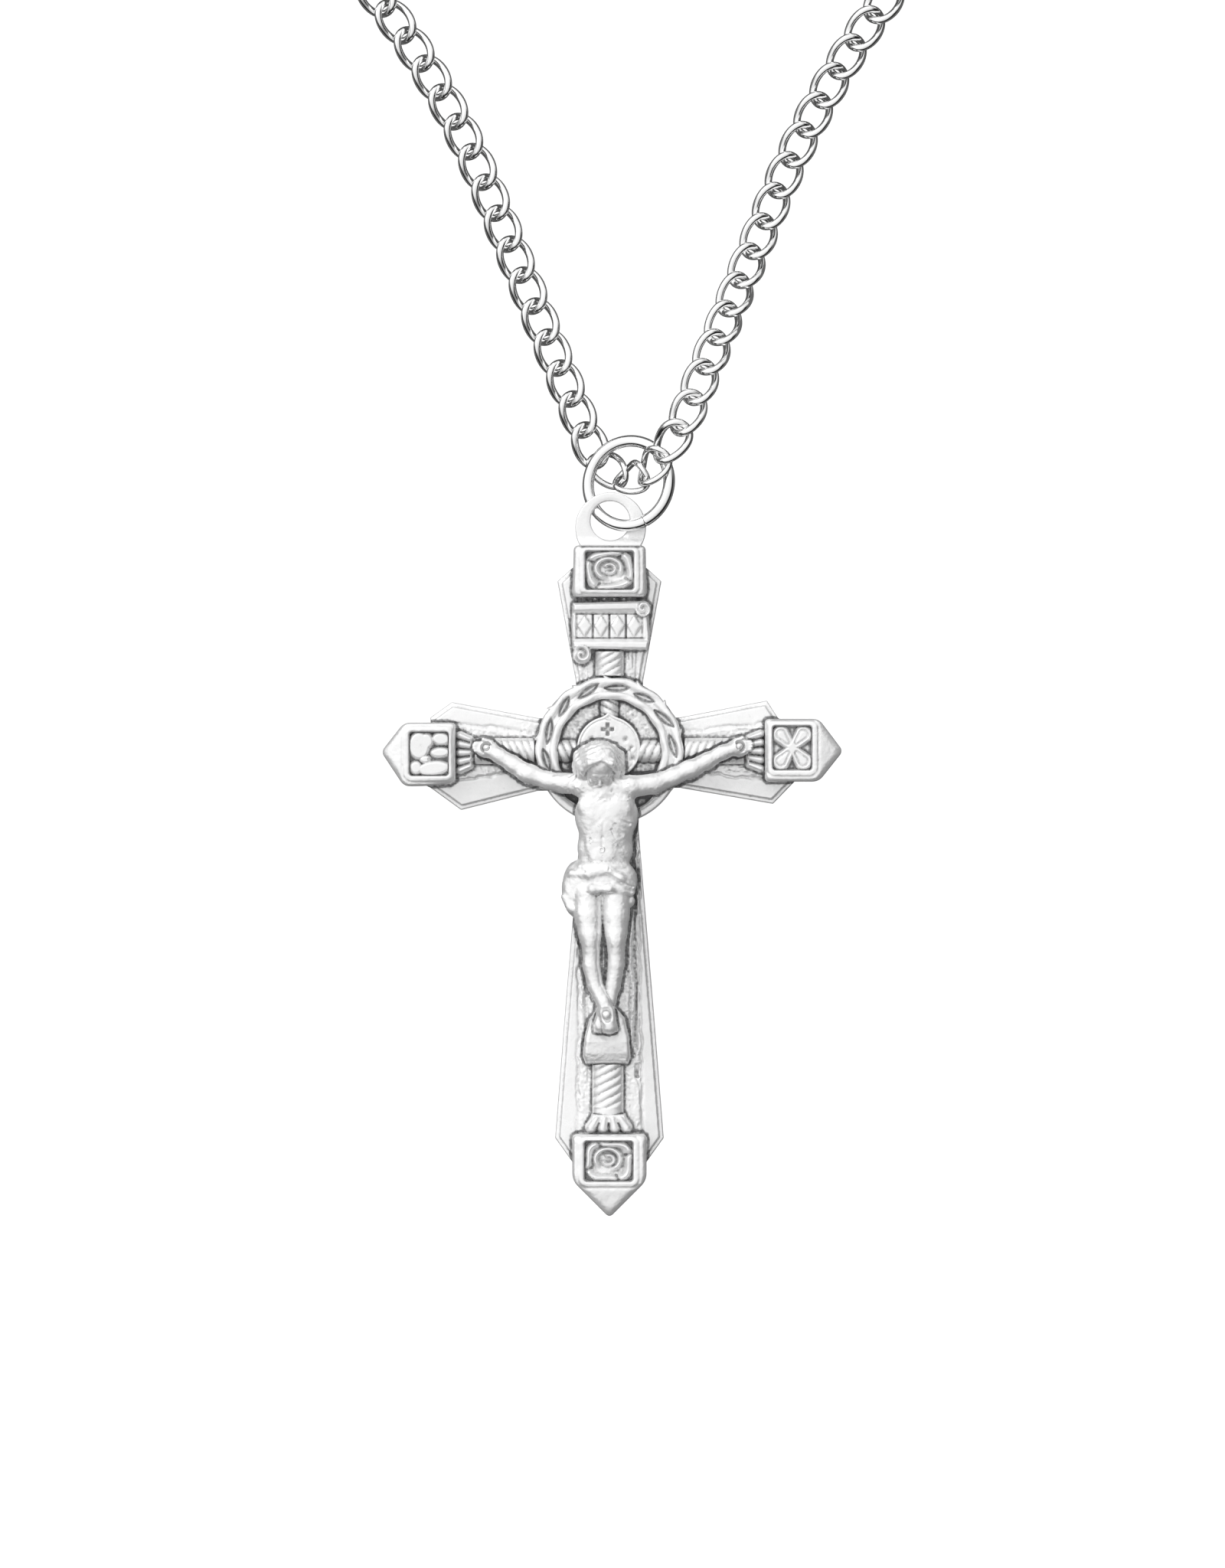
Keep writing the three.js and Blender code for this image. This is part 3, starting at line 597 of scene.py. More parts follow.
def rest_height(X, Y):
    face = np.interp(Y, [-20.45, -20.35, -20.2, -19.7, -18.95, -18.7], [1.9, 2.25, 2.40, 2.62, 2.76, 2.72])
    side = np.abs(X + 0.17) - 0.62
    cheek = np.interp(Y, [-18.7, -17.6, -16.7], [2.72, 2.55, 2.15]) - 0.5 * sstep(0.15, -0.15, side) * sstep(-18.6, -18.2, Y)
    H = np.where(Y < -18.7, face, cheek).astype(np.float32)
    D = d_poly(X, Y, bracket)
    H -= 0.32 * (1 - np.sqrt(np.clip(1 - np.clip((D + 0.3) / 0.3, 0, 1) ** 2, 0, 1)))
    return H + 0.018 * noise2(X, Y, 0.35, 61) + 0.01 * noise2(X, Y, 0.12, 62)


relief("foot_bracket", "foot_rest", CROSS, (-1.75, -20.45, 1.4, -16.7), H2, lambda X, Y: d_poly(X, Y, bracket), rest_height, 1.25, k=0.10)


# ------------------------------------------------------------------ eye
def eye_outline(X, Y):
    d = np.maximum(d_circle(X, Y, 0.08, 14.55, 2.3), 13.33 - Y)
    return smax(d, -d_circle(X, Y, 0.05, 15.0, 1.28), 0.10)


def eye_top(X, Y):
    h = d_circle(X, Y, 0.05, 15.0, 1.28)
    H = 2.76 + 0.20 * sstep(14.0, 13.4, Y) - 0.05 * sstep(0.3, 0.0, h) + 0.010 * noise2(X, Y, 0.8, 71)
    return H.astype(np.float32)


def eye_bottom(X, Y):
    return (1.5 + 0.98 * sstep(14.1, 15.0, Y)).astype(np.float32)


relief("eye", "bail_eye", CROSS, (-2.25, 13.33, 2.4, 16.85), H2, eye_outline, eye_top, 2.5, k=0.10, bottom=eye_bottom)


# ------------------------------------------------------------------ solids from smooth unions
class Clay:
    def __init__(self, lo, hi, h):
        self.h, self.o = h, np.asarray(lo, np.float32)
        self.n = [int(math.ceil((b - a) / h)) + 1 for a, b in zip(lo, hi)]
        self.F = np.full(self.n, 1.2, np.float32)
        self.ax = [lo[i] + h * np.arange(self.n[i], dtype=np.float32) for i in range(3)]

    def part(self, lo, hi):
        s = []
        for i in range(3):
            a = max(int((lo[i] - self.o[i]) / self.h), 0)
            b = min(int((hi[i] - self.o[i]) / self.h) + 2, self.n[i])
            if b <= a:
                return None, None
            s.append(slice(a, b))
        x, y, z = (self.ax[i][s[i]] for i in range(3))
        return tuple(s), (x[:, None, None], y[None, :, None], z[None, None, :])

    def put(self, s, d, k, cut=False):
        if s is None:
            return
        self.F[s] = smax(self.F[s], -d, k) if cut else smin(self.F[s], d, k)

    def ell(self, c, r, k=0.3, R=None, cut=False):
        m = max(r) + k + 0.15
        s, P = self.part([v - m for v in c], [v + m for v in c])
        if s is None:
            return
        x, y, z = (p - q for p, q in zip(P, c))
        if R is not None:
            x, y, z = (R[i][0] * x + R[i][1] * y + R[i][2] * z for i in range(3))
        k0 = np.sqrt((x / r[0]) ** 2 + (y / r[1]) ** 2 + (z / r[2]) ** 2)
        k1 = np.sqrt((x / r[0] ** 2) ** 2 + (y / r[1] ** 2) ** 2 + (z / r[2] ** 2) ** 2) + 1e-6
        self.put(s, k0 * (k0 - 1) / k1, k, cut)

    def limb(self, a, b, ra, rb, k=0.3, cut=False):
        m = max(ra, rb) + k + 0.15
        s, P = self.part([min(p, q) - m for p, q in zip(a, b)], [max(p, q) + m for p, q in zip(a, b)])
        if s is None:
            return
        e = [q - p for p, q in zip(a, b)]
        L = sum(v * v for v in e)
        w = [p - q for p, q in zip(P, a)]
        t = np.clip((w[0] * e[0] + w[1] * e[1] + w[2] * e[2]) / L, 0, 1)
        d = np.sqrt(sum((wi - ei * t) ** 2 for wi, ei in zip(w, e))) - (ra + (rb - ra) * t)
        self.put(s, d, k, cut)

    def path(self, pts, rads, k=0.3, cut=False):
        for i in range(len(pts) - 1):
            self.limb(pts[i], pts[i + 1], rads[i], rads[i + 1], k, cut)

    def warp(self, lo, hi, fn):
        s, P = self.part(lo, hi)
        if s is not None:
            self.F[s] += fn(*P).astype(np.float32)


PALM_L, PALM_R, FEET = (-8.0, 0.2), (8.45, 0.3), (-0.2, -17.15)


def figure():
    h = 0.055 if FINE else 0.11
    C = Clay((-10.4, -19.1, 2.2), (10.7, 1.3, 6.1), h)
    # trunk
    C.ell((-0.2, -4.2, 3.62), (2.06, 2.0, 1.0))
    C.ell((-1.12, -3.55, 4.15), (0.95, 0.8, 0.42), 0.3)
    C.ell((0.55, -3.55, 4.15), (0.92, 0.8, 0.42), 0.3)
    C.ell((-0.28, -6.3, 3.40), (1.80, 1.9, 0.86), 0.5)
    C.ell((-0.9, -5.95, 4.02), (0.62, 0.95, 0.28), 0.25)
    C.ell((0.02, -5.95, 4.02), (0.58, 0.95, 0.28), 0.25)
    C.ell((-0.5, -6.85, 4.0), (0.75, 0.55, 0.3), 0.25)
    C.limb((-1.75, -2.25, 3.75), (1.25, -2.35, 3.75), 0.72, 0.72, 0.4)
    C.limb((-0.6, -2.0, 3.9), (-0.4, -2.8, 3.9), 0.6, 0.7, 0.3)
    # line of the ribs, the middle of the belly and the navel
    for sx, x0 in ((-1, -0.45), (1, -0.28)):
        C.path([(x0 + sx * 0.12, -4.45, 4.75), (x0 + sx * 0.65, -4.85, 4.62), (x0 + sx * 1.15, -5.5, 4.35)], [0.13, 0.12, 0.09], 0.14, cut=True)
        for j in range(3):
            y = -4.75 - 0.42 * j
            C.path([(x0 + sx * 1.0, y + 0.25, 4.55 - 0.05 * j), (x0 + sx * 1.62, y, 4.2)], [0.045, 0.05], 0.1, cut=True)
    C.path([(-0.4, -4.6, 4.68), (-0.44, -5.6, 4.42), (-0.48, -6.15, 4.36)], [0.07, 0.055, 0.05], 0.10, cut=True)
    C.ell((-0.5, -6.42, 4.33), (0.20, 0.20, 0.09), 0.06)
    C.ell((-0.5, -6.42, 4.42), (0.125, 0.125, 0.16), 0.04, cut=True)
    for x0, y0, x1, y1, w in ((-1.1, -5.25, -0.95, -5.7, 0.07), (0.15, -5.1, 0.4, -5.75, 0.06), (0.1, -6.2, 0.08, -6.9, 0.05)):
        C.limb((x0, y0, 4.45), (x1, y1, 4.40), w, w * 0.8, 0.06, cut=True)
    # cloth round the hips, tied at the figure's left side
    C.ell((-0.5, -8.2, 3.28), (2.15, 1.35, 1.10), 0.35)
    C.ell((-2.1, -9.0, 3.10), (1.0, 1.85, 0.86), 0.35)
    C.ell((0.75, -8.5, 3.35), (1.05, 1.15, 1.0), 0.3)
    C.ell((-0.55, -7.55, 3.55), (1.72, 0.48, 0.92), 0.12)
    folds = [((-2.45, -7.95, 3.80), (-1.3, -8.0, 4.22), (-0.15, -7.75, 4.36)), ((0.0, -7.8, 4.38), (0.7, -8.25, 4.32), (1.5, -8.8, 3.88)),
             ((-2.95, -9.5, 3.42), (-2.5, -10.2, 3.60), (-1.9, -10.5, 3.85)), ((-1.9, -9.35, 4.05), (-1.1, -8.98, 4.36), (0.0, -8.95, 4.42), (1.5, -9.25, 3.85))]
    for i, f in enumerate(folds):
        C.path(f, [0.16, 0.22, 0.20, 0.14], 0.28)
    for f in (((-2.05, -7.72, 4.18), (-1.6, -7.86, 4.32)), ((-2.66, -8.5, 3.92), (-2.52, -9.3, 3.96), (-2.2, -9.9, 4.0)), ((0.05, -7.6, 4.52), (0.5, -7.8, 4.50), (1.3, -7.7, 4.2)),
              ((0.1, -8.05, 4.66), (0.7, -8.5, 4.56), (1.55, -8.85, 4.05)), ((-1.9, -8.6, 4.42), (-1.1, -8.45, 4.62), (-0.3, -8.5, 4.68)), ((0.15, -8.4, 4.66), (0.6, -8.8, 4.56), (1.4, -9.15, 4.1)),
              ((0.0, -7.4, 4.5), (-0.05, -8.0, 4.68)), ((-2.0, -9.0, 4.25), (-1.3, -9.3, 4.42))):
        C.path(f, [0.05, 0.065, 0.04], 0.08, cut=True)
    C.ell((1.36, -9.75, 3.45), (0.30, 0.38, 0.34), 0.08)
    C.limb((1.15, -9.1, 3.6), (1.36, -9.7, 3.5), 0.24, 0.2, 0.1)
    # legs
    C.path([(-1.42, -9.3, 3.35), (-1.38, -10.7, 3.62), (-1.27, -11.9, 3.86), (-1.20, -12.9, 3.86)], [1.00, 0.92, 0.74, 0.56], 0.15)
    C.path([(0.42, -9.3, 3.35), (0.42, -10.7, 3.58), (0.42, -11.9, 3.80), (0.44, -12.9, 3.80)], [0.98, 0.88, 0.70, 0.55], 0.15)
    C.ell((-1.22, -12.3, 4.10), (0.48, 0.62, 0.46), 0.25)
    C.ell((0.42, -12.3, 4.04), (0.46, 0.62, 0.46), 0.25)
    C.path([(-1.20, -12.9, 3.86), (-1.20, -13.9, 3.76), (-0.95, -15.2, 3.7), (-0.40, -16.3, 3.9)], [0.56, 0.55, 0.50, 0.45], 0.10)
    C.path([(0.44, -12.9, 3.80), (0.44, -13.9, 3.7), (0.26, -15.2, 3.55), (0.02, -16.3, 3.5)], [0.55, 0.52, 0.46, 0.40], 0.10)
    C.path([(-0.44, -10.6, 4.62), (-0.44, -11.8, 4.5), (-0.42, -12.6, 4.3)], [0.05, 0.10, 0.16], 0.14, cut=True)
    C.path([(-0.44, -9.25, 4.9), (-0.62, -9.75, 4.75), (-0.5, -10.35, 4.65)], [0.30, 0.24, 0.08], 0.12, cut=True)
    # feet, one over the other, heels up on the block
    C.path([(0.02, -16.2, 3.5), (-0.35, -16.9, 3.5), (-0.62, -17.85, 3.5)], [0.40, 0.46, 0.42], 0.16)
    C.path([(-0.42, -16.2, 3.92), (-0.16, -17.0, 4.0), (0.0, -17.9, 3.95)], [0.44, 0.50, 0.50], 0.10)
    for i in range(5):
        x = -0.34 + 0.19 * i
        C.limb((x, -17.9, 3.98), (x + 0.02, -18.30 + 0.05 * abs(i - 1), 3.92), 0.13, 0.115, 0.05)
    for i in range(3):
        x = -0.95 + 0.19 * i
        C.limb((x, -17.9, 3.62), (x, -18.25, 3.58), 0.13, 0.11, 0.05)
    C.limb((-0.55, -16.5, 4.05), (-0.42, -17.9, 4.1), 0.05, 0.06, 0.08, cut=True)
    # arms
    for side, pts, rad in (
        (-1, [(-1.9, -2.15, 3.72), (-3.0, -2.1, 3.5), (-4.05, -1.93, 3.32), (-5.3, -1.45, 3.12), (-6.3, -0.85, 2.98), (-7.2, -0.3, 2.9), (-7.9, 0.05, 2.86)],
         [0.70, 0.62, 0.55, 0.57, 0.52, 0.46, 0.40]),
        (1, [(1.5, -2.3, 3.72), (2.9, -2.15, 3.5), (4.2, -1.65, 3.32), (5.3, -1.15, 3.12), (6.4, -0.62, 2.98), (7.4, -0.08, 2.9), (8.3, 0.22, 2.86)],
         [0.70, 0.62, 0.55, 0.57, 0.50, 0.44, 0.38]),
    ):
        C.path(pts, rad, 0.22)
        C.ell((pts[1][0] - side * 0.1, pts[1][1] + 0.08, pts[1][2] + 0.12), (0.85, 0.42, 0.5), 0.25)
        p = pts[3]
        C.ell((p[0], p[1], p[2] + 0.05), (0.75, 0.48, 0.52), 0.25)
    # open hands, palm up, with short fingers held together
    for side, px, py, dirx, lean in ((-1, PALM_L[0], PALM_L[1], -1, 0.10), (1, PALM_R[0], PALM_R[1], 1, 0.10)):
        C.ell((px, py - 0.05, 2.82), (0.72, 0.60, 0.32), 0.2)
        for j, (dy, L) in enumerate(((0.30, 0.26), (0.12, 0.34), (-0.07, 0.33), (-0.25, 0.24))):
            a = (px + dirx * 0.38, py + dy - 0.02, 2.88)
            b = (px + dirx * (0.50 + L), py + 0.02 + dy * 0.9 + lean * L, 2.95)
            C.limb(a, b, 0.125, 0.10, 0.05)
        C.limb((px - dirx * 0.28, py + 0.38, 2.90), (px + dirx * 0.22, py + 0.56, 3.0), 0.14, 0.11, 0.08)
    # head: built upright in its own axes, then bowed
    b = math.radians(42)
    up, fw, rt = np.array([0.05, math.cos(b), math.sin(b)]), np.array([0.05, -math.sin(b), math.cos(b)]), np.array([1.0, 0, 0])
    up = up / np.linalg.norm(up)
    fw = fw - up * (fw @ up)
    fw /= np.linalg.norm(fw)
    rt = np.cross(fw, up)
    rt = -rt if rt[0] < 0 else rt
    Hc = np.array([-0.66, -1.0, 4.12])
    M = [rt, fw, up]

    def at(u, f, c):
        return tuple((Hc + rt * u + fw * f + up * c).tolist())

    C.limb(at(0, -0.2, -1.1), (-0.45, -2.4, 3.8), 0.62, 0.75, 0.3)
    C.ell(at(0, -0.05, 0.30), (1.12, 1.16, 1.15), 0.2, M)
    C.ell(at(0, 0.36, -0.25), (0.96, 0.86, 1.12), 0.2, M)
    C.ell(at(0, 0.70, -1.02), (0.48, 0.44, 0.42), 0.25, M)
    C.limb(at(-0.42, 1.06, 0.12), at(0.42, 1.06, 0.12), 0.13, 0.13, 0.18)
    for s in (-1, 1):
        C.ell(at(s * 0.34, 1.30, -0.09), (0.22, 0.15, 0.12), 0.12, M, cut=True)
        C.ell(at(s * 0.34, 1.09, -0.12), (0.19, 0.15, 0.10), 0.05, M)
        C.limb(at(s * 0.20, 1.235, -0.145), at(s * 0.50, 1.17, -0.145), 0.022, 0.02, 0.03, cut=True)
        C.ell(at(s * 0.48, 0.94, -0.42), (0.25, 0.24, 0.27), 0.18, M)
        C.ell(at(s * 0.10, 1.33, -0.45), (0.085, 0.09, 0.065), 0.05, M)
        C.path([at(s * 0.05, 1.25, -0.62), at(s * 0.36, 1.12, -0.76), at(s * 0.52, 0.88, -1.02)], [0.09, 0.09, 0.08], 0.06)
    C.path([at(0, 1.16, 0.05), at(0, 1.32, -0.28), at(0, 1.39, -0.41)], [0.09, 0.09, 0.105], 0.09)
    C.limb(at(-0.18, 1.19, -0.715), at(0.18, 1.19, -0.715), 0.055, 0.055, 0.05)
    C.limb(at(-0.15, 1.18, -0.835), at(0.15, 1.18, -0.835), 0.065, 0.065, 0.05)
    for i, u in enumerate((-0.58, -0.36, -0.12, 0.12, 0.36, 0.58)):      # beard locks
        C.path([at(u, 0.95 - abs(u) * 0.5, -0.92), at(u * 0.95, 1.0 - abs(u) * 0.35, -1.30), at(u * 0.6, 0.86, -1.66 + abs(u) * 0.35)], [0.17, 0.17, 0.08], 0.07)
    # hair parted in the middle, over the ears and down to the shoulders
    C.ell(at(0, -0.18, 0.42), (1.36, 1.20, 1.26), 0.3, M)
    for s in (-1, 1):
        for j in range(8):
            t = j / 7
            p0 = at(s * 0.05, 0.74 - 1.5 * t, 1.36 - 0.35 * abs(t - 0.35))
            p1 = at(s * (0.70 + 0.22 * t), 0.84 - 1.55 * t, 1.02 - 0.05 * t)
            p2 = at(s * (1.08 + 0.30 * min(1, 2 * t)), 0.66 - 1.4 * t, 0.36)
            p3 = at(s * (1.10 + 0.36 * min(1, 2 * t)), 0.56 - 1.3 * t, -0.42)
            p4 = at(s * (1.02 + 0.36 * t), 0.42 - 1.0 * t, -1.20)
            C.path([p0, p1, p2, p3, p4], [0.12, 0.20, 0.24, 0.24, 0.17], 0.09)
        C.path([at(s * 1.25, 0.2, -1.0), (-0.62 + s * 1.48, -2.0, 4.05), (-0.58 + s * 1.42, -2.75, 4.0)], [0.26, 0.24, 0.12], 0.1)
    # fine strands
    def strands(x, y, z):
        u = (x - Hc[0]) * rt[0] + (y - Hc[1]) * rt[1] + (z - Hc[2]) * rt[2]
        f = (x - Hc[0]) * fw[0] + (y - Hc[1]) * fw[1] + (z - Hc[2]) * fw[2]
        c = (x - Hc[0]) * up[0] + (y - Hc[1]) * up[1] + (z - Hc[2]) * up[2]
        hair = np.maximum(np.maximum(sstep(0.30, 0.05, f - 0.45), sstep(0.78, 0.9, np.abs(u))) * sstep(-2.0, -1.7, c), sstep(-0.88, -1.0, c) * sstep(1.9, 1.2, np.abs(u)))
        hair = np.maximum(hair, sstep(0.9, 1.05, c))
        g = np.sin(f * 17 + 3.0 * np.sin(u * 3.2) + c * 4 + 2.2 * noise3(x, y, z, 0.7, 90))
        return hair * (0.026 * g + 0.02 * noise3(x, y, z, 0.13, 91))

    C.warp((-2.6, -3.2, 2.4), (1.3, 1.0, 6.0), strands)
    # light casting texture on the skin and small pits
    C.warp((-10.3, -19.0, 2.2), (10.6, 1.2, 6.0), lambda x, y, z: 0.012 * noise2(x, y, 0.14, 93) + 0.020 * noise2(x + z, y - z, 0.42, 94))
    for (x, y), r in ((PALM_L, 0.20), (PALM_R, 0.20), (FEET, 0.25)):
        C.limb((x, y, 2.0), (x, y, 5.2), r, r, 0.02, cut=True)
        C.ell((x, y, 3.02 if r < 0.22 else 4.42), (r * 2.0, r * 2.0, 0.16), 0.05, cut=True)
    ob = field_mesh("figure", C.F, C.o, h)
    ob["look"] = "satin"
    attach(ob, CROSS)
    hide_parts("corpus")
    MADE.append(ob)


figure()


def nail(name, node, at, z0, z1, shaft, head):
    n, prof = 24, [(0.0, z0), (shaft, z0), (shaft, z1 - 0.02), (head * 0.96, z1), (head, z1 + 0.05), (head * 0.9, z1 + 0.12), (head * 0.55, z1 + 0.2), (0.0, z1 + 0.24)]
    V, Q, T = [], [], []
    for i, (r, z) in enumerate(prof):
        for j in range(n):
            t = 2 * math.pi * j / n
            rr = r * (1 + (0.05 * math.sin(3 * t) if 2 < i < 7 else 0))
            V.append((at[0] + rr * math.cos(t), at[1] + rr * math.sin(t), z))
    for i in range(len(prof) - 1):
        for j in range(n):
            a, b = i * n + j, i * n + (j + 1) % n
            Q.append((a, b, b + n, a + n))
    ob = to_mesh(name, np.array(V), np.array(Q), np.zeros((0, 3), int))
    ob["look"] = "satin"
    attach(ob, CROSS)
    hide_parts(node)
    MADE.append(ob)


nail("palm_nail_left", "nail_left", PALM_L, 2.36, 3.02, 0.12, 0.22)
nail("palm_nail_right", "nail_right", PALM_R, 2.36, 3.02, 0.12, 0.22)
nail("foot_nail", "nail_feet", FEET, 2.9, 4.42, 0.16, 0.28)
print("pendant", round(time.time() - T0, 1), "s", sum(len(o.data.vertices) for o in MADE), "vertices")
# ------------------------------------------------------------------ patina and painted shade
# How deep each point of the pendant lies below its surroundings, as a number kept on the mesh; it darkens the silver's
# colour in hollows and creases, partly real patina and partly painted occlusion shade.
def box_blur(A, r):
    for _ in range(2):
        for ax in (0, 1):
            n = A.shape[ax]
            P = np.concatenate([np.repeat(np.take(A, [0], ax), r + 1, ax), A, np.repeat(np.take(A, [-1], ax), r, ax)], ax)
            S = np.cumsum(P, ax, dtype=np.float64)
            A = (np.take(S, range(2 * r + 1, 2 * r + 1 + n), ax) - np.take(S, range(n), ax)) / (2 * r + 1)
    return A


def patina_and_painted_shade():
    g = 0.05
    x0, y0 = -16.0, -31.0
    nx, ny = int(32.0 / g), int(49.0 / g)
    H = np.zeros(nx * ny)
    data = []
    for o in MADE:
        me = o.data
        v = np.empty(len(me.vertices) * 3, np.float32)
        me.vertices.foreach_get("co", v)
        v = v.reshape(-1, 3) / MM
        ix = np.clip(((v[:, 0] - x0) / g).astype(int), 0, nx - 1)
        iy = np.clip(((v[:, 1] - y0) / g).astype(int), 0, ny - 1)
        data.append((o, v, ix, iy))
        np.maximum.at(H, ix * ny + iy, v[:, 2])
    H = H.reshape(nx, ny)
    for _ in range(2):                                # close pin holes between vertices
        N, above = H.copy(), np.zeros(H.shape, int)
        for dx, dy in ((1, 0), (-1, 0), (0, 1), (0, -1)):
            B = np.roll(H, (dx, dy), (0, 1))
            above += B > H + 0.35
            N = np.maximum(N, B)
        H = np.where(above >= 3, N, H)
        H = np.where(H <= 0, N, H)
    fine, wide = box_blur(H, 2), box_blur(H, 5)
    for o, v, ix, iy in data:
        n = np.empty(len(v) * 3, np.float32)
        o.data.vertex_normals.foreach_get("vector", n)
        nz = n.reshape(-1, 3)[:, 2]
        f, w, top = (A[ix, iy] for A in (fine, wide, H))
        z = v[:, 2]
        man = o.name.startswith("corpus") or o.name.startswith("figure")
        k = 0.75 if man else 1.5 if o.name.startswith("rope") else 1.0
        # painted shade with real patina: darker where a point lies below the blurred heights around it, lighter where
        # it stands above them
        low = k * np.clip((f - z) / 0.09, -1, 1) * 0.50 + np.clip((w - z) / 0.9, -0.3, 0.50) * 0.55
        if man:                                                           # patches of painted shade on the belly and cloth, and a ring of painted shade round the navel
            x, y = v[:, 0], v[:, 1]
            s = np.sin(13.0 * x + 2.0 * np.sin(9.0 * y)) * np.sin(12.0 * y + 1.1 + 1.5 * np.sin(7.0 * x))
            s = s + 0.7 * np.sin(29.0 * x + 1.3 * np.sin(17.0 * y)) * np.sin(31.0 * y + 0.4)
            m = np.zeros(len(x))
            for px, py, rx, ry, q in ((-1.25, -5.8, 0.30, 0.50, 1.0), (-0.65, -4.9, 0.25, 0.30, 0.6), (0.45, -5.9, 0.45, 0.50, 0.9),
                                      (0.85, -6.7, 0.35, 0.50, 0.7), (-0.45, -7.15, 1.20, 0.14, 0.8), (-0.65, -9.4, 0.55, 0.40, 1.0)):
                m = np.maximum(m, q * np.exp(-((x - px) / rx) ** 2 - ((y - py) / ry) ** 2))
            m = m * np.clip(0.72 + 0.6 * s, 0, 1)
            m = np.maximum(m, 0.9 * np.exp(-((np.hypot(x + 0.5, y + 6.4) - 0.20) / 0.06) ** 2))
            m = np.where(nz > 0.2, m, 0)
            low = low * (1 - m) + 0.60 * m
        low = np.where((z < top - 0.45) & (nz > 0.3), 0.50, low)          # painted shade under another piece
        wall = np.clip(0.34 - 0.22 * (z - 0.2), 0.04, 0.34)
        low = np.where(nz < 0.25, np.minimum(low, wall), low)
        low = np.where(nz < -0.5, 0.05, low)
        a = o.data.attributes.new("patina_and_painted_shade", "FLOAT", "POINT")
        a.data.foreach_set("value", low.astype(np.float32))


patina_and_painted_shade()
print("patina_and_painted_shade", round(time.time() - T0, 1), "s")

# ------------------------------------------------------------------ chain
ANG = math.radians(21.9)
SX, SY, P = math.sin(ANG), math.cos(ANG), 2.185
LA, LB, LC = 1.4, 0.95, 0.36
NA, NC = (72, 16) if FINE else (36, 10)


def link_verts(c, ax, az, wire, na, nc, seed=0):
    ax = np.array(ax, float) / np.linalg.norm(ax)
    az = np.array(az, float) - ax * (np.array(az, float) @ ax)
    az /= np.linalg.norm(az)
    ay = np.cross(az, ax)
    a = np.arange(na) * 2 * math.pi / na
    p = np.stack([LA * np.cos(a), LB * np.sin(a), LC * np.sin(2 * a)], 1)
    t = np.stack([-LA * np.sin(a), LB * np.cos(a), 2 * LC * np.cos(2 * a)], 1)
    t /= np.linalg.norm(t, axis=1)[:, None]
    o = np.stack([np.cos(a) / LA, np.sin(a) / LB, 0 * a], 1)
    o -= t * np.sum(o * t, 1)[:, None]
    o /= np.linalg.norm(o, axis=1)[:, None]
    n = np.cross(t, o)
    b = np.arange(nc) * 2 * math.pi / nc
    v = p[:, None, :] + wire * (o[:, None, :] * np.cos(b)[None, :, None] + n[:, None, :] * np.sin(b)[None, :, None])
    v = v.reshape(-1, 3)
    return np.array(c, float) + v[:, :1] * ax + v[:, 1:2] * ay + v[:, 2:] * az


def ring_quads(na, nc):
    i, j = np.meshgrid(np.arange(na), np.arange(nc), indexing="ij")
    q = np.stack([i * nc + j, ((i + 1) % na) * nc + j, ((i + 1) % na) * nc + (j + 1) % nc, i * nc + (j + 1) % nc], -1).reshape(-1, 4)
    return q


NO_TRIS = np.zeros((0, 3), int)


def outward(V, Q):
    a, b, c, d = (V[Q[:, k]] for k in range(4))
    m = V.mean(0)
    vol = np.einsum("ij,ij->i", a - m, np.cross(b - m, c - m)).sum() + np.einsum("ij,ij->i", a - m, np.cross(c - m, d - m)).sum()
    return Q if vol > 0 else Q[:, ::-1]


def finish_piece(ob, look, body, nodes):
    ob["look"] = look
    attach(ob, body)
    if nodes:
        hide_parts(*nodes)
    MADE.append(ob)
    return ob


def link(name, node, body, c, ax, az, wire=0.25):
    V = link_verts(c, ax, az, wire, NA, NC)
    finish_piece(to_mesh(name, V, outward(V, ring_quads(NA, NC)), NO_TRIS), "bright", body, [node])


link("middle_loop", "link_mid", "middle_link", (1.48, 17.852, 2.193), (0.6648, 0.0332, 0.7463), (-0.7407, 0.159, 0.6527), 0.2)
link("inner_loop_left", "link_mid_left", "inner_left_link", (-0.052, 18.42, 1.015), (0.7544, -0.5591, 0.3439), (-0.2978, 0.1755, 0.9384), 0.2)
link("inner_loop_right", "link_mid_right", "inner_right_link", (2.787, 18.542, 3.635), (0.5418, 0.6033, 0.5853), (-0.7038, -0.055, 0.7083), 0.2)
for i in range(1, 10):
    link("loop_left_%d" % i, "link_left_%d" % i, "left_%d_link" % i, (-1.25 - SX * P * (i - 1), 20 + SY * P * (i - 1), 0.65), (SX, -SY, 0), (0, 0, 1))
R3 = [((4.006, 20.058, 4.454), (0.5822, 0.7951, 0.1698), (-0.3527, 0.0588, 0.9339)), ((5.063, 21.914, 4.52), (0.3906, 0.914, -0.1093), (-0.1598, 0.1843, 0.9698)),
      ((5.876, 23.918, 4.191), (0.3524, 0.9162, -0.1906), (0.0088, 0.2005, 0.9797))]
for i, (c, ax, az) in enumerate(R3):
    link("loop_right_%d" % (i + 1), "link_right_%d" % (i + 1), "right_%d_link" % (i + 1), c, ax, az)
DROP = [0.25, 0.33, 0.36, 0.33, 0.24, 0.12]
pos = list(R3[2][0])
for k, s in enumerate(DROP):
    run = P / math.hypot(1, s)
    pos = [pos[0] + SX * run, pos[1] + SY * run, pos[2] - s * run]
    nxt = DROP[k + 1] if k < 5 else 0
    link("loop_right_%d" % (k + 4), "link_right_%d" % (k + 4), "right_%d_link" % (k + 4), tuple(pos), (SX, SY, -(s + nxt) / 2), (0, 0, 1))
RIGHT_END = tuple(pos)
LEFT_END = (-1.25 - SX * P * 8, 20 + SY * P * 8, 0.65)


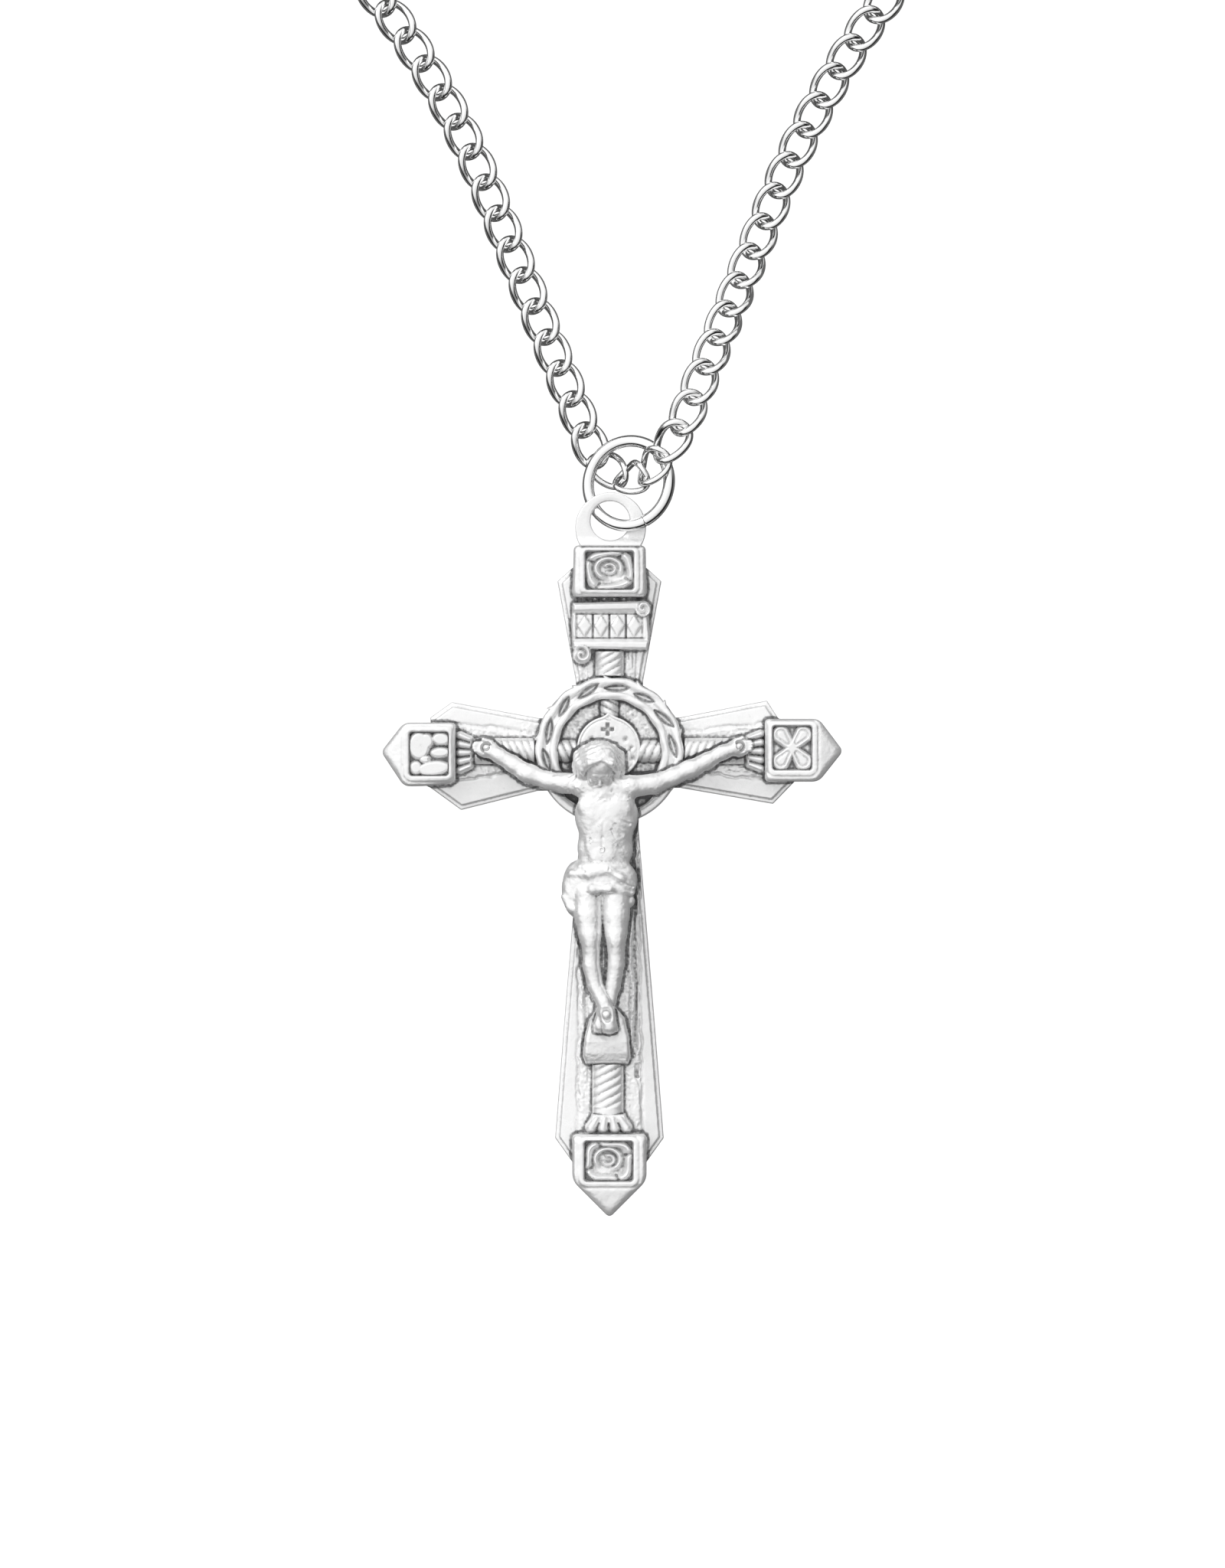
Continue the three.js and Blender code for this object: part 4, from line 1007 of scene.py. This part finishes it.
def bezier(p, n):
    t = np.linspace(0, 1, n)[:, None]
    p = [np.array(q, float) for q in p]
    return (1 - t) ** 3 * p[0] + 3 * (1 - t) ** 2 * t * p[1] + 3 * (1 - t) * t * t * p[2] + t ** 3 * p[3]


COIL = (-12.9, 69.9, 8.3)        # centre of the long coil and its half leg


def strand_line(start, head, mirror):
    """The line the links follow from the last jointed link: a run, then a long flat coil that closes on the findings."""
    flip = (lambda x: 2 * 1.48 - x) if mirror else (lambda x: x)
    s = -1 if mirror else 1
    cx, cy, leg = COIL
    a = math.radians(225)
    end = np.array([cx + 9.8 * math.cos(a), cy - leg + 9.8 * math.sin(a)])
    d = np.array([-0.7071, 0.7071])
    st = np.array([flip(start[0]), start[1]])
    hd = np.array([head[0] * s, head[1]])
    pts = [bezier([st, st + hd * 7, end - d * 8, end], 240)]
    # turning and straight parts in order: (turn in degrees, 0 for a leg)
    parts = [45, 0, 180, 0, 180, 0, 180, 0, 180, 0, 71]
    total = sum(parts)
    done, up, phi = 0.0, False, 225.0
    for k, p in enumerate(parts):
        n = 160 if p else 120
        u = np.linspace(0, 1, n)[1:]
        turned = done + p * u
        left = np.radians(total - turned)
        r = 9.8 - 2.5 * turned / 360.0
        r_end = 9.8 - 2.5 * total / 360.0
        r = r - (r_end - 3.42) * np.clip(1 - left / 2.5, 0, 1) ** 1.5
        if p:
            ph = np.radians(phi - p * u)
            oy = cy + (leg if up else -leg)
            pts.append(np.stack([cx + r * np.cos(ph), oy + r * np.sin(ph)], 1))
            phi -= p
            done += p
        else:
            side = -1 if not up else 1
            y = cy + (-leg + 2 * leg * u) * (1 if not up else -1)
            pts.append(np.stack([cx + side * r, y], 1))
            up = not up
    q = np.concatenate(pts)
    keep = np.concatenate([[True], np.linalg.norm(np.diff(q, axis=0), axis=1) > 1e-6])
    q = q[keep]
    L = np.concatenate([[0], np.cumsum(np.linalg.norm(np.diff(q, axis=0), axis=1))])
    z = 0.65 + (start[2] - 0.65) * (1 - sstep(0, 7, L))
    x = np.array([flip(v) for v in q[:, 0]])
    return np.stack([x, q[:, 1], z], 1), L


def strand(name, start, head, mirror, body, nodes):
    q, L = strand_line(start, head, mirror)
    na, nc = (48, 10) if FINE else (24, 8)
    n = int(L[-1] / P)
    step = L[-1] / n
    V, Q, base = [], [], ring_quads(na, nc)
    rng = np.random.default_rng(5 + mirror)
    at = lambda s: np.array([np.interp(s, L, q[:, k]) for k in range(3)])
    for i in range(1, n + 1):
        s = i * step
        c = at(s)
        t = at(min(s + 0.9, L[-1])) - at(max(s - 0.9, 0))
        if i > 2:
            t[:2] += rng.normal(0, 0.012, 2) * np.linalg.norm(t)
        v = link_verts(c, t, (0, 0, 1), 0.25, na, nc)
        V.append(v)
        Q.append(outward(v, base) + (i - 1) * na * nc)
    ob = to_mesh(name, np.concatenate(V), np.concatenate(Q), NO_TRIS)
    finish_piece(ob, "bright", body, nodes)
    k = np.arange(0, L[-1], 0.5)
    line = [(at(s) * MM).tolist() for s in k] + [(at(L[-1]) * MM).tolist()]
    return float(L[-1]), n, at(L[-1])


def torus(name, c, normal, R, r, na, nc, body, nodes, look="bright", cut=None):
    z = np.array(normal, float) / np.linalg.norm(normal)
    x = np.cross((0, 1, 0), z)
    x /= np.linalg.norm(x)
    y = np.cross(z, x)
    a = np.arange(na) * 2 * math.pi / na
    b = np.arange(nc) * 2 * math.pi / nc
    rr = np.full(na, r)
    if cut is not None:
        rr -= 0.055 * np.exp(-((((a - cut + math.pi) % (2 * math.pi)) - math.pi) / 0.012) ** 2)
    rad = R + rr[:, None] * np.cos(b)[None]
    V = (rad * np.cos(a)[:, None])[..., None] * x + (rad * np.sin(a)[:, None])[..., None] * y + (rr[:, None] * np.sin(b)[None])[..., None] * z
    V = V.reshape(-1, 3) + np.array(c)
    return finish_piece(to_mesh(name, V, outward(V, ring_quads(na, nc)), NO_TRIS), look, body, nodes)


torus("jump_loop", (1.25, 17.45, 2.68), (-0.36, 0.15, 1), 2.8, 0.38, 520 if FINE else 120, 40 if FINE else 16, "ring", ["jump_ring"], cut=math.radians(-64))
tie = torus("clasp_loop", (-12.6, 81.42, 0.98), (0, math.sin(0.864), math.cos(0.864)), 0.78, 0.2, 72, 16, "left_9_link", ["clasp_ring"])
closing = torus("end_loop", (15.96, 79.2, 0.7), (0, 0, 1), 2.0, 0.35, 120, 24, "right_9_link", ["end_ring"])


def flat_piece(name, outline, box, z0, z1, k, body, node):
    h = 0.05 if FINE else 0.1
    x0, y0, x1, y1 = box
    X, Y = np.meshgrid(np.arange(x0 - 3 * h, x1 + 3 * h, h, dtype=np.float32), np.arange(y0 - 3 * h, y1 + 3 * h, h, dtype=np.float32), indexing="ij")
    Z = np.arange(z0 - 3 * h, z1 + 3 * h, h, dtype=np.float32)
    D = outline(X, Y)
    F = smax(D[:, :, None], np.abs(Z - (z0 + z1) / 2)[None, None, :] - (z1 - z0) / 2, k)
    ob = field_mesh(name, F, (X[0, 0], Y[0, 0], Z[0]), h)
    return finish_piece(ob, "bright", body, [node])


KX, KY = -12.6, 77.7


def hook_outline(X, Y):
    d = smax(d_ell(X, Y, KX, KY, 1.74, 2.69), -d_ell(X, Y, KX, KY, 1.06, 1.91), 0.05)
    u, v = X - KX, Y - KY
    gap = np.maximum(np.abs(v - 0.0 - 0.55) - 0.62, -u)                 # the mouth that the lever closes
    gap = np.maximum(gap, 0.5 - u)
    d = smax(d, -gap, 0.05)
    d = smin(d, d_box(X, Y, KX - 0.53, KY + 2.35, KX + 0.53, KY + 3.48, 0.3), 0.15)
    return smax(d, -d_circle(X, Y, KX, KY + 2.95, 0.28), 0.04)


hook = flat_piece("clasp_hook", hook_outline, (KX - 1.8, KY - 2.75, KX + 1.8, KY + 3.55), 0.12, 1.28, 0.35, "left_9_link", "clasp_body")
trigger = flat_piece("clasp_trigger_lever", lambda X, Y: d_poly(X, Y, [(KX + 1.27, KY - 0.08), (KX + 1.73, KY - 0.08), (KX + 1.88, KY + 0.4), (KX + 1.7, KY + 0.98), (KX + 1.22, KY + 0.93)]) + 0.01,
                     (KX + 1.1, KY - 0.2, KX + 2.0, KY + 1.1), 0.36, 1.04, 0.15, "lever", "clasp_lever")
SL = strand("strand_left", LEFT_END, (-SX, SY), False, "left_9_link", ["chain_run_left", "chain_coil_left"])
SR = strand("strand_right", RIGHT_END, (SX, SY), True, "right_9_link", ["chain_run_right", "chain_coil_right"])
print("strands", SL, SR, round(time.time() - T0, 1), "s")

# ------------------------------------------------------------------ looks
def new_mat(name):
    m = bpy.data.materials.new(name)
    m.use_nodes = True
    nt = m.node_tree
    nt.nodes.clear()
    out, bs = nt.nodes.new("ShaderNodeOutputMaterial"), nt.nodes.new("ShaderNodeBsdfPrincipled")
    nt.links.new(bs.outputs[0], out.inputs[0])
    return m, nt, bs


def node(nt, kind, **kw):
    n = nt.nodes.new(kind)
    for k, v in kw.items():
        setattr(n, k, v)
    return n


def noise(nt, scale, detail=3.0, rough=0.55):
    t, n = node(nt, "ShaderNodeTexCoord"), node(nt, "ShaderNodeTexNoise")
    nt.links.new(t.outputs["Object"], n.inputs["Vector"])
    n.inputs["Scale"].default_value = scale
    n.inputs["Detail"].default_value = detail
    n.inputs["Roughness"].default_value = rough
    return n.outputs["Fac"]


def remap(nt, src, a, b, c, d, smooth=False):
    n = node(nt, "ShaderNodeMapRange")
    if smooth:
        n.interpolation_type = "SMOOTHSTEP"
    for i, v in enumerate((a, b, c, d)):
        n.inputs[1 + i].default_value = v
    nt.links.new(src, n.inputs[0])
    return n.outputs[0]


def calc(nt, op, a, b=None):
    n = node(nt, "ShaderNodeMath", operation=op)
    for i, v in enumerate((a, b)):
        if v is None:
            continue
        if isinstance(v, (int, float)):
            n.inputs[i].default_value = v
        else:
            nt.links.new(v, n.inputs[i])
    return n.outputs[0]


def ramp(nt, src, stops):
    r = node(nt, "ShaderNodeValToRGB")
    e = r.color_ramp.elements
    while len(e) < len(stops):
        e.new(0.5)
    for k, (p, c) in enumerate(stops):
        e[k].position = p
        e[k].color = (c[0], c[1], c[2], 1)
    nt.links.new(src, r.inputs[0])
    return r.outputs[0]


def satin(name, shift=0.0):
    m, nt, bs = new_mat(name)
    # the base colour reads the painted shade and real patina from the mesh, plus random speckle and cloud tone
    at = node(nt, "ShaderNodeAttribute", attribute_name="patina_and_painted_shade")
    p = at.outputs["Fac"]
    speck = noise(nt, 4200, 2.0, 0.6)
    cloud = noise(nt, 700, 3.0, 0.6)
    v = calc(nt, "ADD", p, calc(nt, "MULTIPLY", calc(nt, "SUBTRACT", speck, 0.5), 0.80))
    v = calc(nt, "ADD", v, calc(nt, "MULTIPLY", calc(nt, "SUBTRACT", cloud, 0.5), 0.55))
    v = remap(nt, v, -0.5 - shift, 1.0 - shift, 0.0, 1.0)
    col = ramp(nt, v, [(0.0, (0.975, 0.975, 0.975)), (0.44, (0.92, 0.92, 0.92)), (0.60, (0.70, 0.70, 0.70)), (0.76, (0.34, 0.34, 0.343)), (0.95, (0.12, 0.12, 0.122))])
    nt.links.new(col, bs.inputs["Base Color"])
    bs.inputs["Metallic"].default_value = 0.48
    r = calc(nt, "ADD", remap(nt, cloud, 0.3, 0.7, 0.27, 0.40), remap(nt, v, 0.3, 0.8, 0.0, 0.25))
    nt.links.new(r, bs.inputs["Roughness"])
    b1 = node(nt, "ShaderNodeBump")
    b1.inputs["Strength"].default_value = 0.45
    b1.inputs["Distance"].default_value = 0.00003
    nt.links.new(calc(nt, "ADD", noise(nt, 9000, 2.0), calc(nt, "MULTIPLY", noise(nt, 1500, 3.0), 1.2)), b1.inputs["Height"])
    nt.links.new(b1.outputs[0], bs.inputs["Normal"])
    return m


def polished(name, rough=0.05):
    m, nt, bs = new_mat(name)
    n = noise(nt, 260, 2.0)
    nt.links.new(ramp(nt, n, [(0.3, (0.87, 0.87, 0.87)), (0.7, (0.92, 0.92, 0.92))]), bs.inputs["Base Color"])
    bs.inputs["Metallic"].default_value = 1.0
    nt.links.new(remap(nt, noise(nt, 1800, 3.0), 0.3, 0.7, rough, rough + 0.05), bs.inputs["Roughness"])
    b = node(nt, "ShaderNodeBump")
    b.inputs["Strength"].default_value = 0.10
    b.inputs["Distance"].default_value = 0.00002
    nt.links.new(noise(nt, 900, 2.0), b.inputs["Height"])
    nt.links.new(b.outputs[0], bs.inputs["Normal"])
    return m


LOOKS = {"satin": satin("silver_satin"), "ground": satin("silver_oxidised", 0.28), "bright": polished("silver_polished")}
for o in MADE:
    o.data.materials.clear()
    o.data.materials.append(LOOKS["ground" if o.name == "boss_ground" else o["look"]])

# ------------------------------------------------------------------ floor, sky and light
floor = to_mesh("studio_floor", np.array([(-2500, -2500, -0.02), (2500, -2500, -0.02), (2500, 2500, -0.02), (-2500, 2500, -0.02)]), np.array([(0, 1, 2, 3)]), NO_TRIS)
fm, nt, bs = new_mat("white_sweep")
bs.inputs["Base Color"].default_value = (0.14, 0.14, 0.14, 1)
bs.inputs["Roughness"].default_value = 1.0
bs.inputs["Specular IOR Level"].default_value = 0.0
bs.inputs["Emission Color"].default_value = (1, 1, 1, 1)
seen = node(nt, "ShaderNodeLightPath")
nt.links.new(remap(nt, seen.outputs["Is Camera Ray"], 0, 1, 0.02, 1.0), bs.inputs["Emission Strength"])
floor.data.materials.append(fm)

world = bpy.data.worlds.new("tent")
scene.world = world
world.use_nodes = True
nt = world.node_tree
nt.nodes.clear()
wo = node(nt, "ShaderNodeOutputWorld")
tc, sep = node(nt, "ShaderNodeTexCoord"), node(nt, "ShaderNodeSeparateXYZ")
nt.links.new(tc.outputs["Generated"], sep.inputs[0])
dx, dy, dz = sep.outputs[0], sep.outputs[1], sep.outputs[2]
lit = calc(nt, "ADD", calc(nt, "ADD", calc(nt, "MULTIPLY", dx, -0.24), calc(nt, "MULTIPLY", dy, 0.26)), calc(nt, "ADD", calc(nt, "MULTIPLY", dz, 0.05), 0.96))
side = calc(nt, "ADD", calc(nt, "MULTIPLY", dx, 0.55), calc(nt, "MULTIPLY", dy, -0.62))
low_side = calc(nt, "ADD", calc(nt, "MULTIPLY", dy, -1.0), calc(nt, "MULTIPLY", dx, 0.25))
w = remap(nt, low_side, -0.55, 0.05, 0.10, 1.0, True)
top = remap(nt, side, -0.8, 0.8, 0.30, 0.95)
band = node(nt, "ShaderNodeMapRange")
band.interpolation_type = "SMOOTHSTEP"
nt.links.new(dz, band.inputs[0])
nt.links.new(top, band.inputs[1])
nt.links.new(calc(nt, "MULTIPLY", top, 0.55), band.inputs[2])
band.inputs[3].default_value = 0.0
band.inputs[4].default_value = 1.0
dark = calc(nt, "MULTIPLY", band.outputs[0], w)
val = calc(nt, "MULTIPLY", lit, calc(nt, "SUBTRACT", 1.0, calc(nt, "MULTIPLY", dark, 0.98)))
bg, white = node(nt, "ShaderNodeBackground"), node(nt, "ShaderNodeBackground")
nt.links.new(val, bg.inputs["Color"])
white.inputs["Color"].default_value = (1, 1, 1, 1)
mix, lp = node(nt, "ShaderNodeMixShader"), node(nt, "ShaderNodeLightPath")
nt.links.new(lp.outputs["Is Camera Ray"], mix.inputs[0])
nt.links.new(bg.outputs[0], mix.inputs[1])
nt.links.new(white.outputs[0], mix.inputs[2])
nt.links.new(mix.outputs[0], wo.inputs[0])


def area(name, at, aim, size, power):
    d = bpy.data.lights.new(name, "AREA")
    d.shape, d.size, d.energy = "DISK", size, power
    o = bpy.data.objects.new(name, d)
    scene.collection.objects.link(o)
    o.location = at
    from mathutils import Vector
    o.rotation_euler = (Vector(aim) - Vector(at)).to_track_quat("-Z", "Y").to_euler()
    return o


area("key", (-0.35, 0.42, 0.62), (0, 0, 0), 0.30, 0.7)
scene.view_settings.view_transform = "Standard"
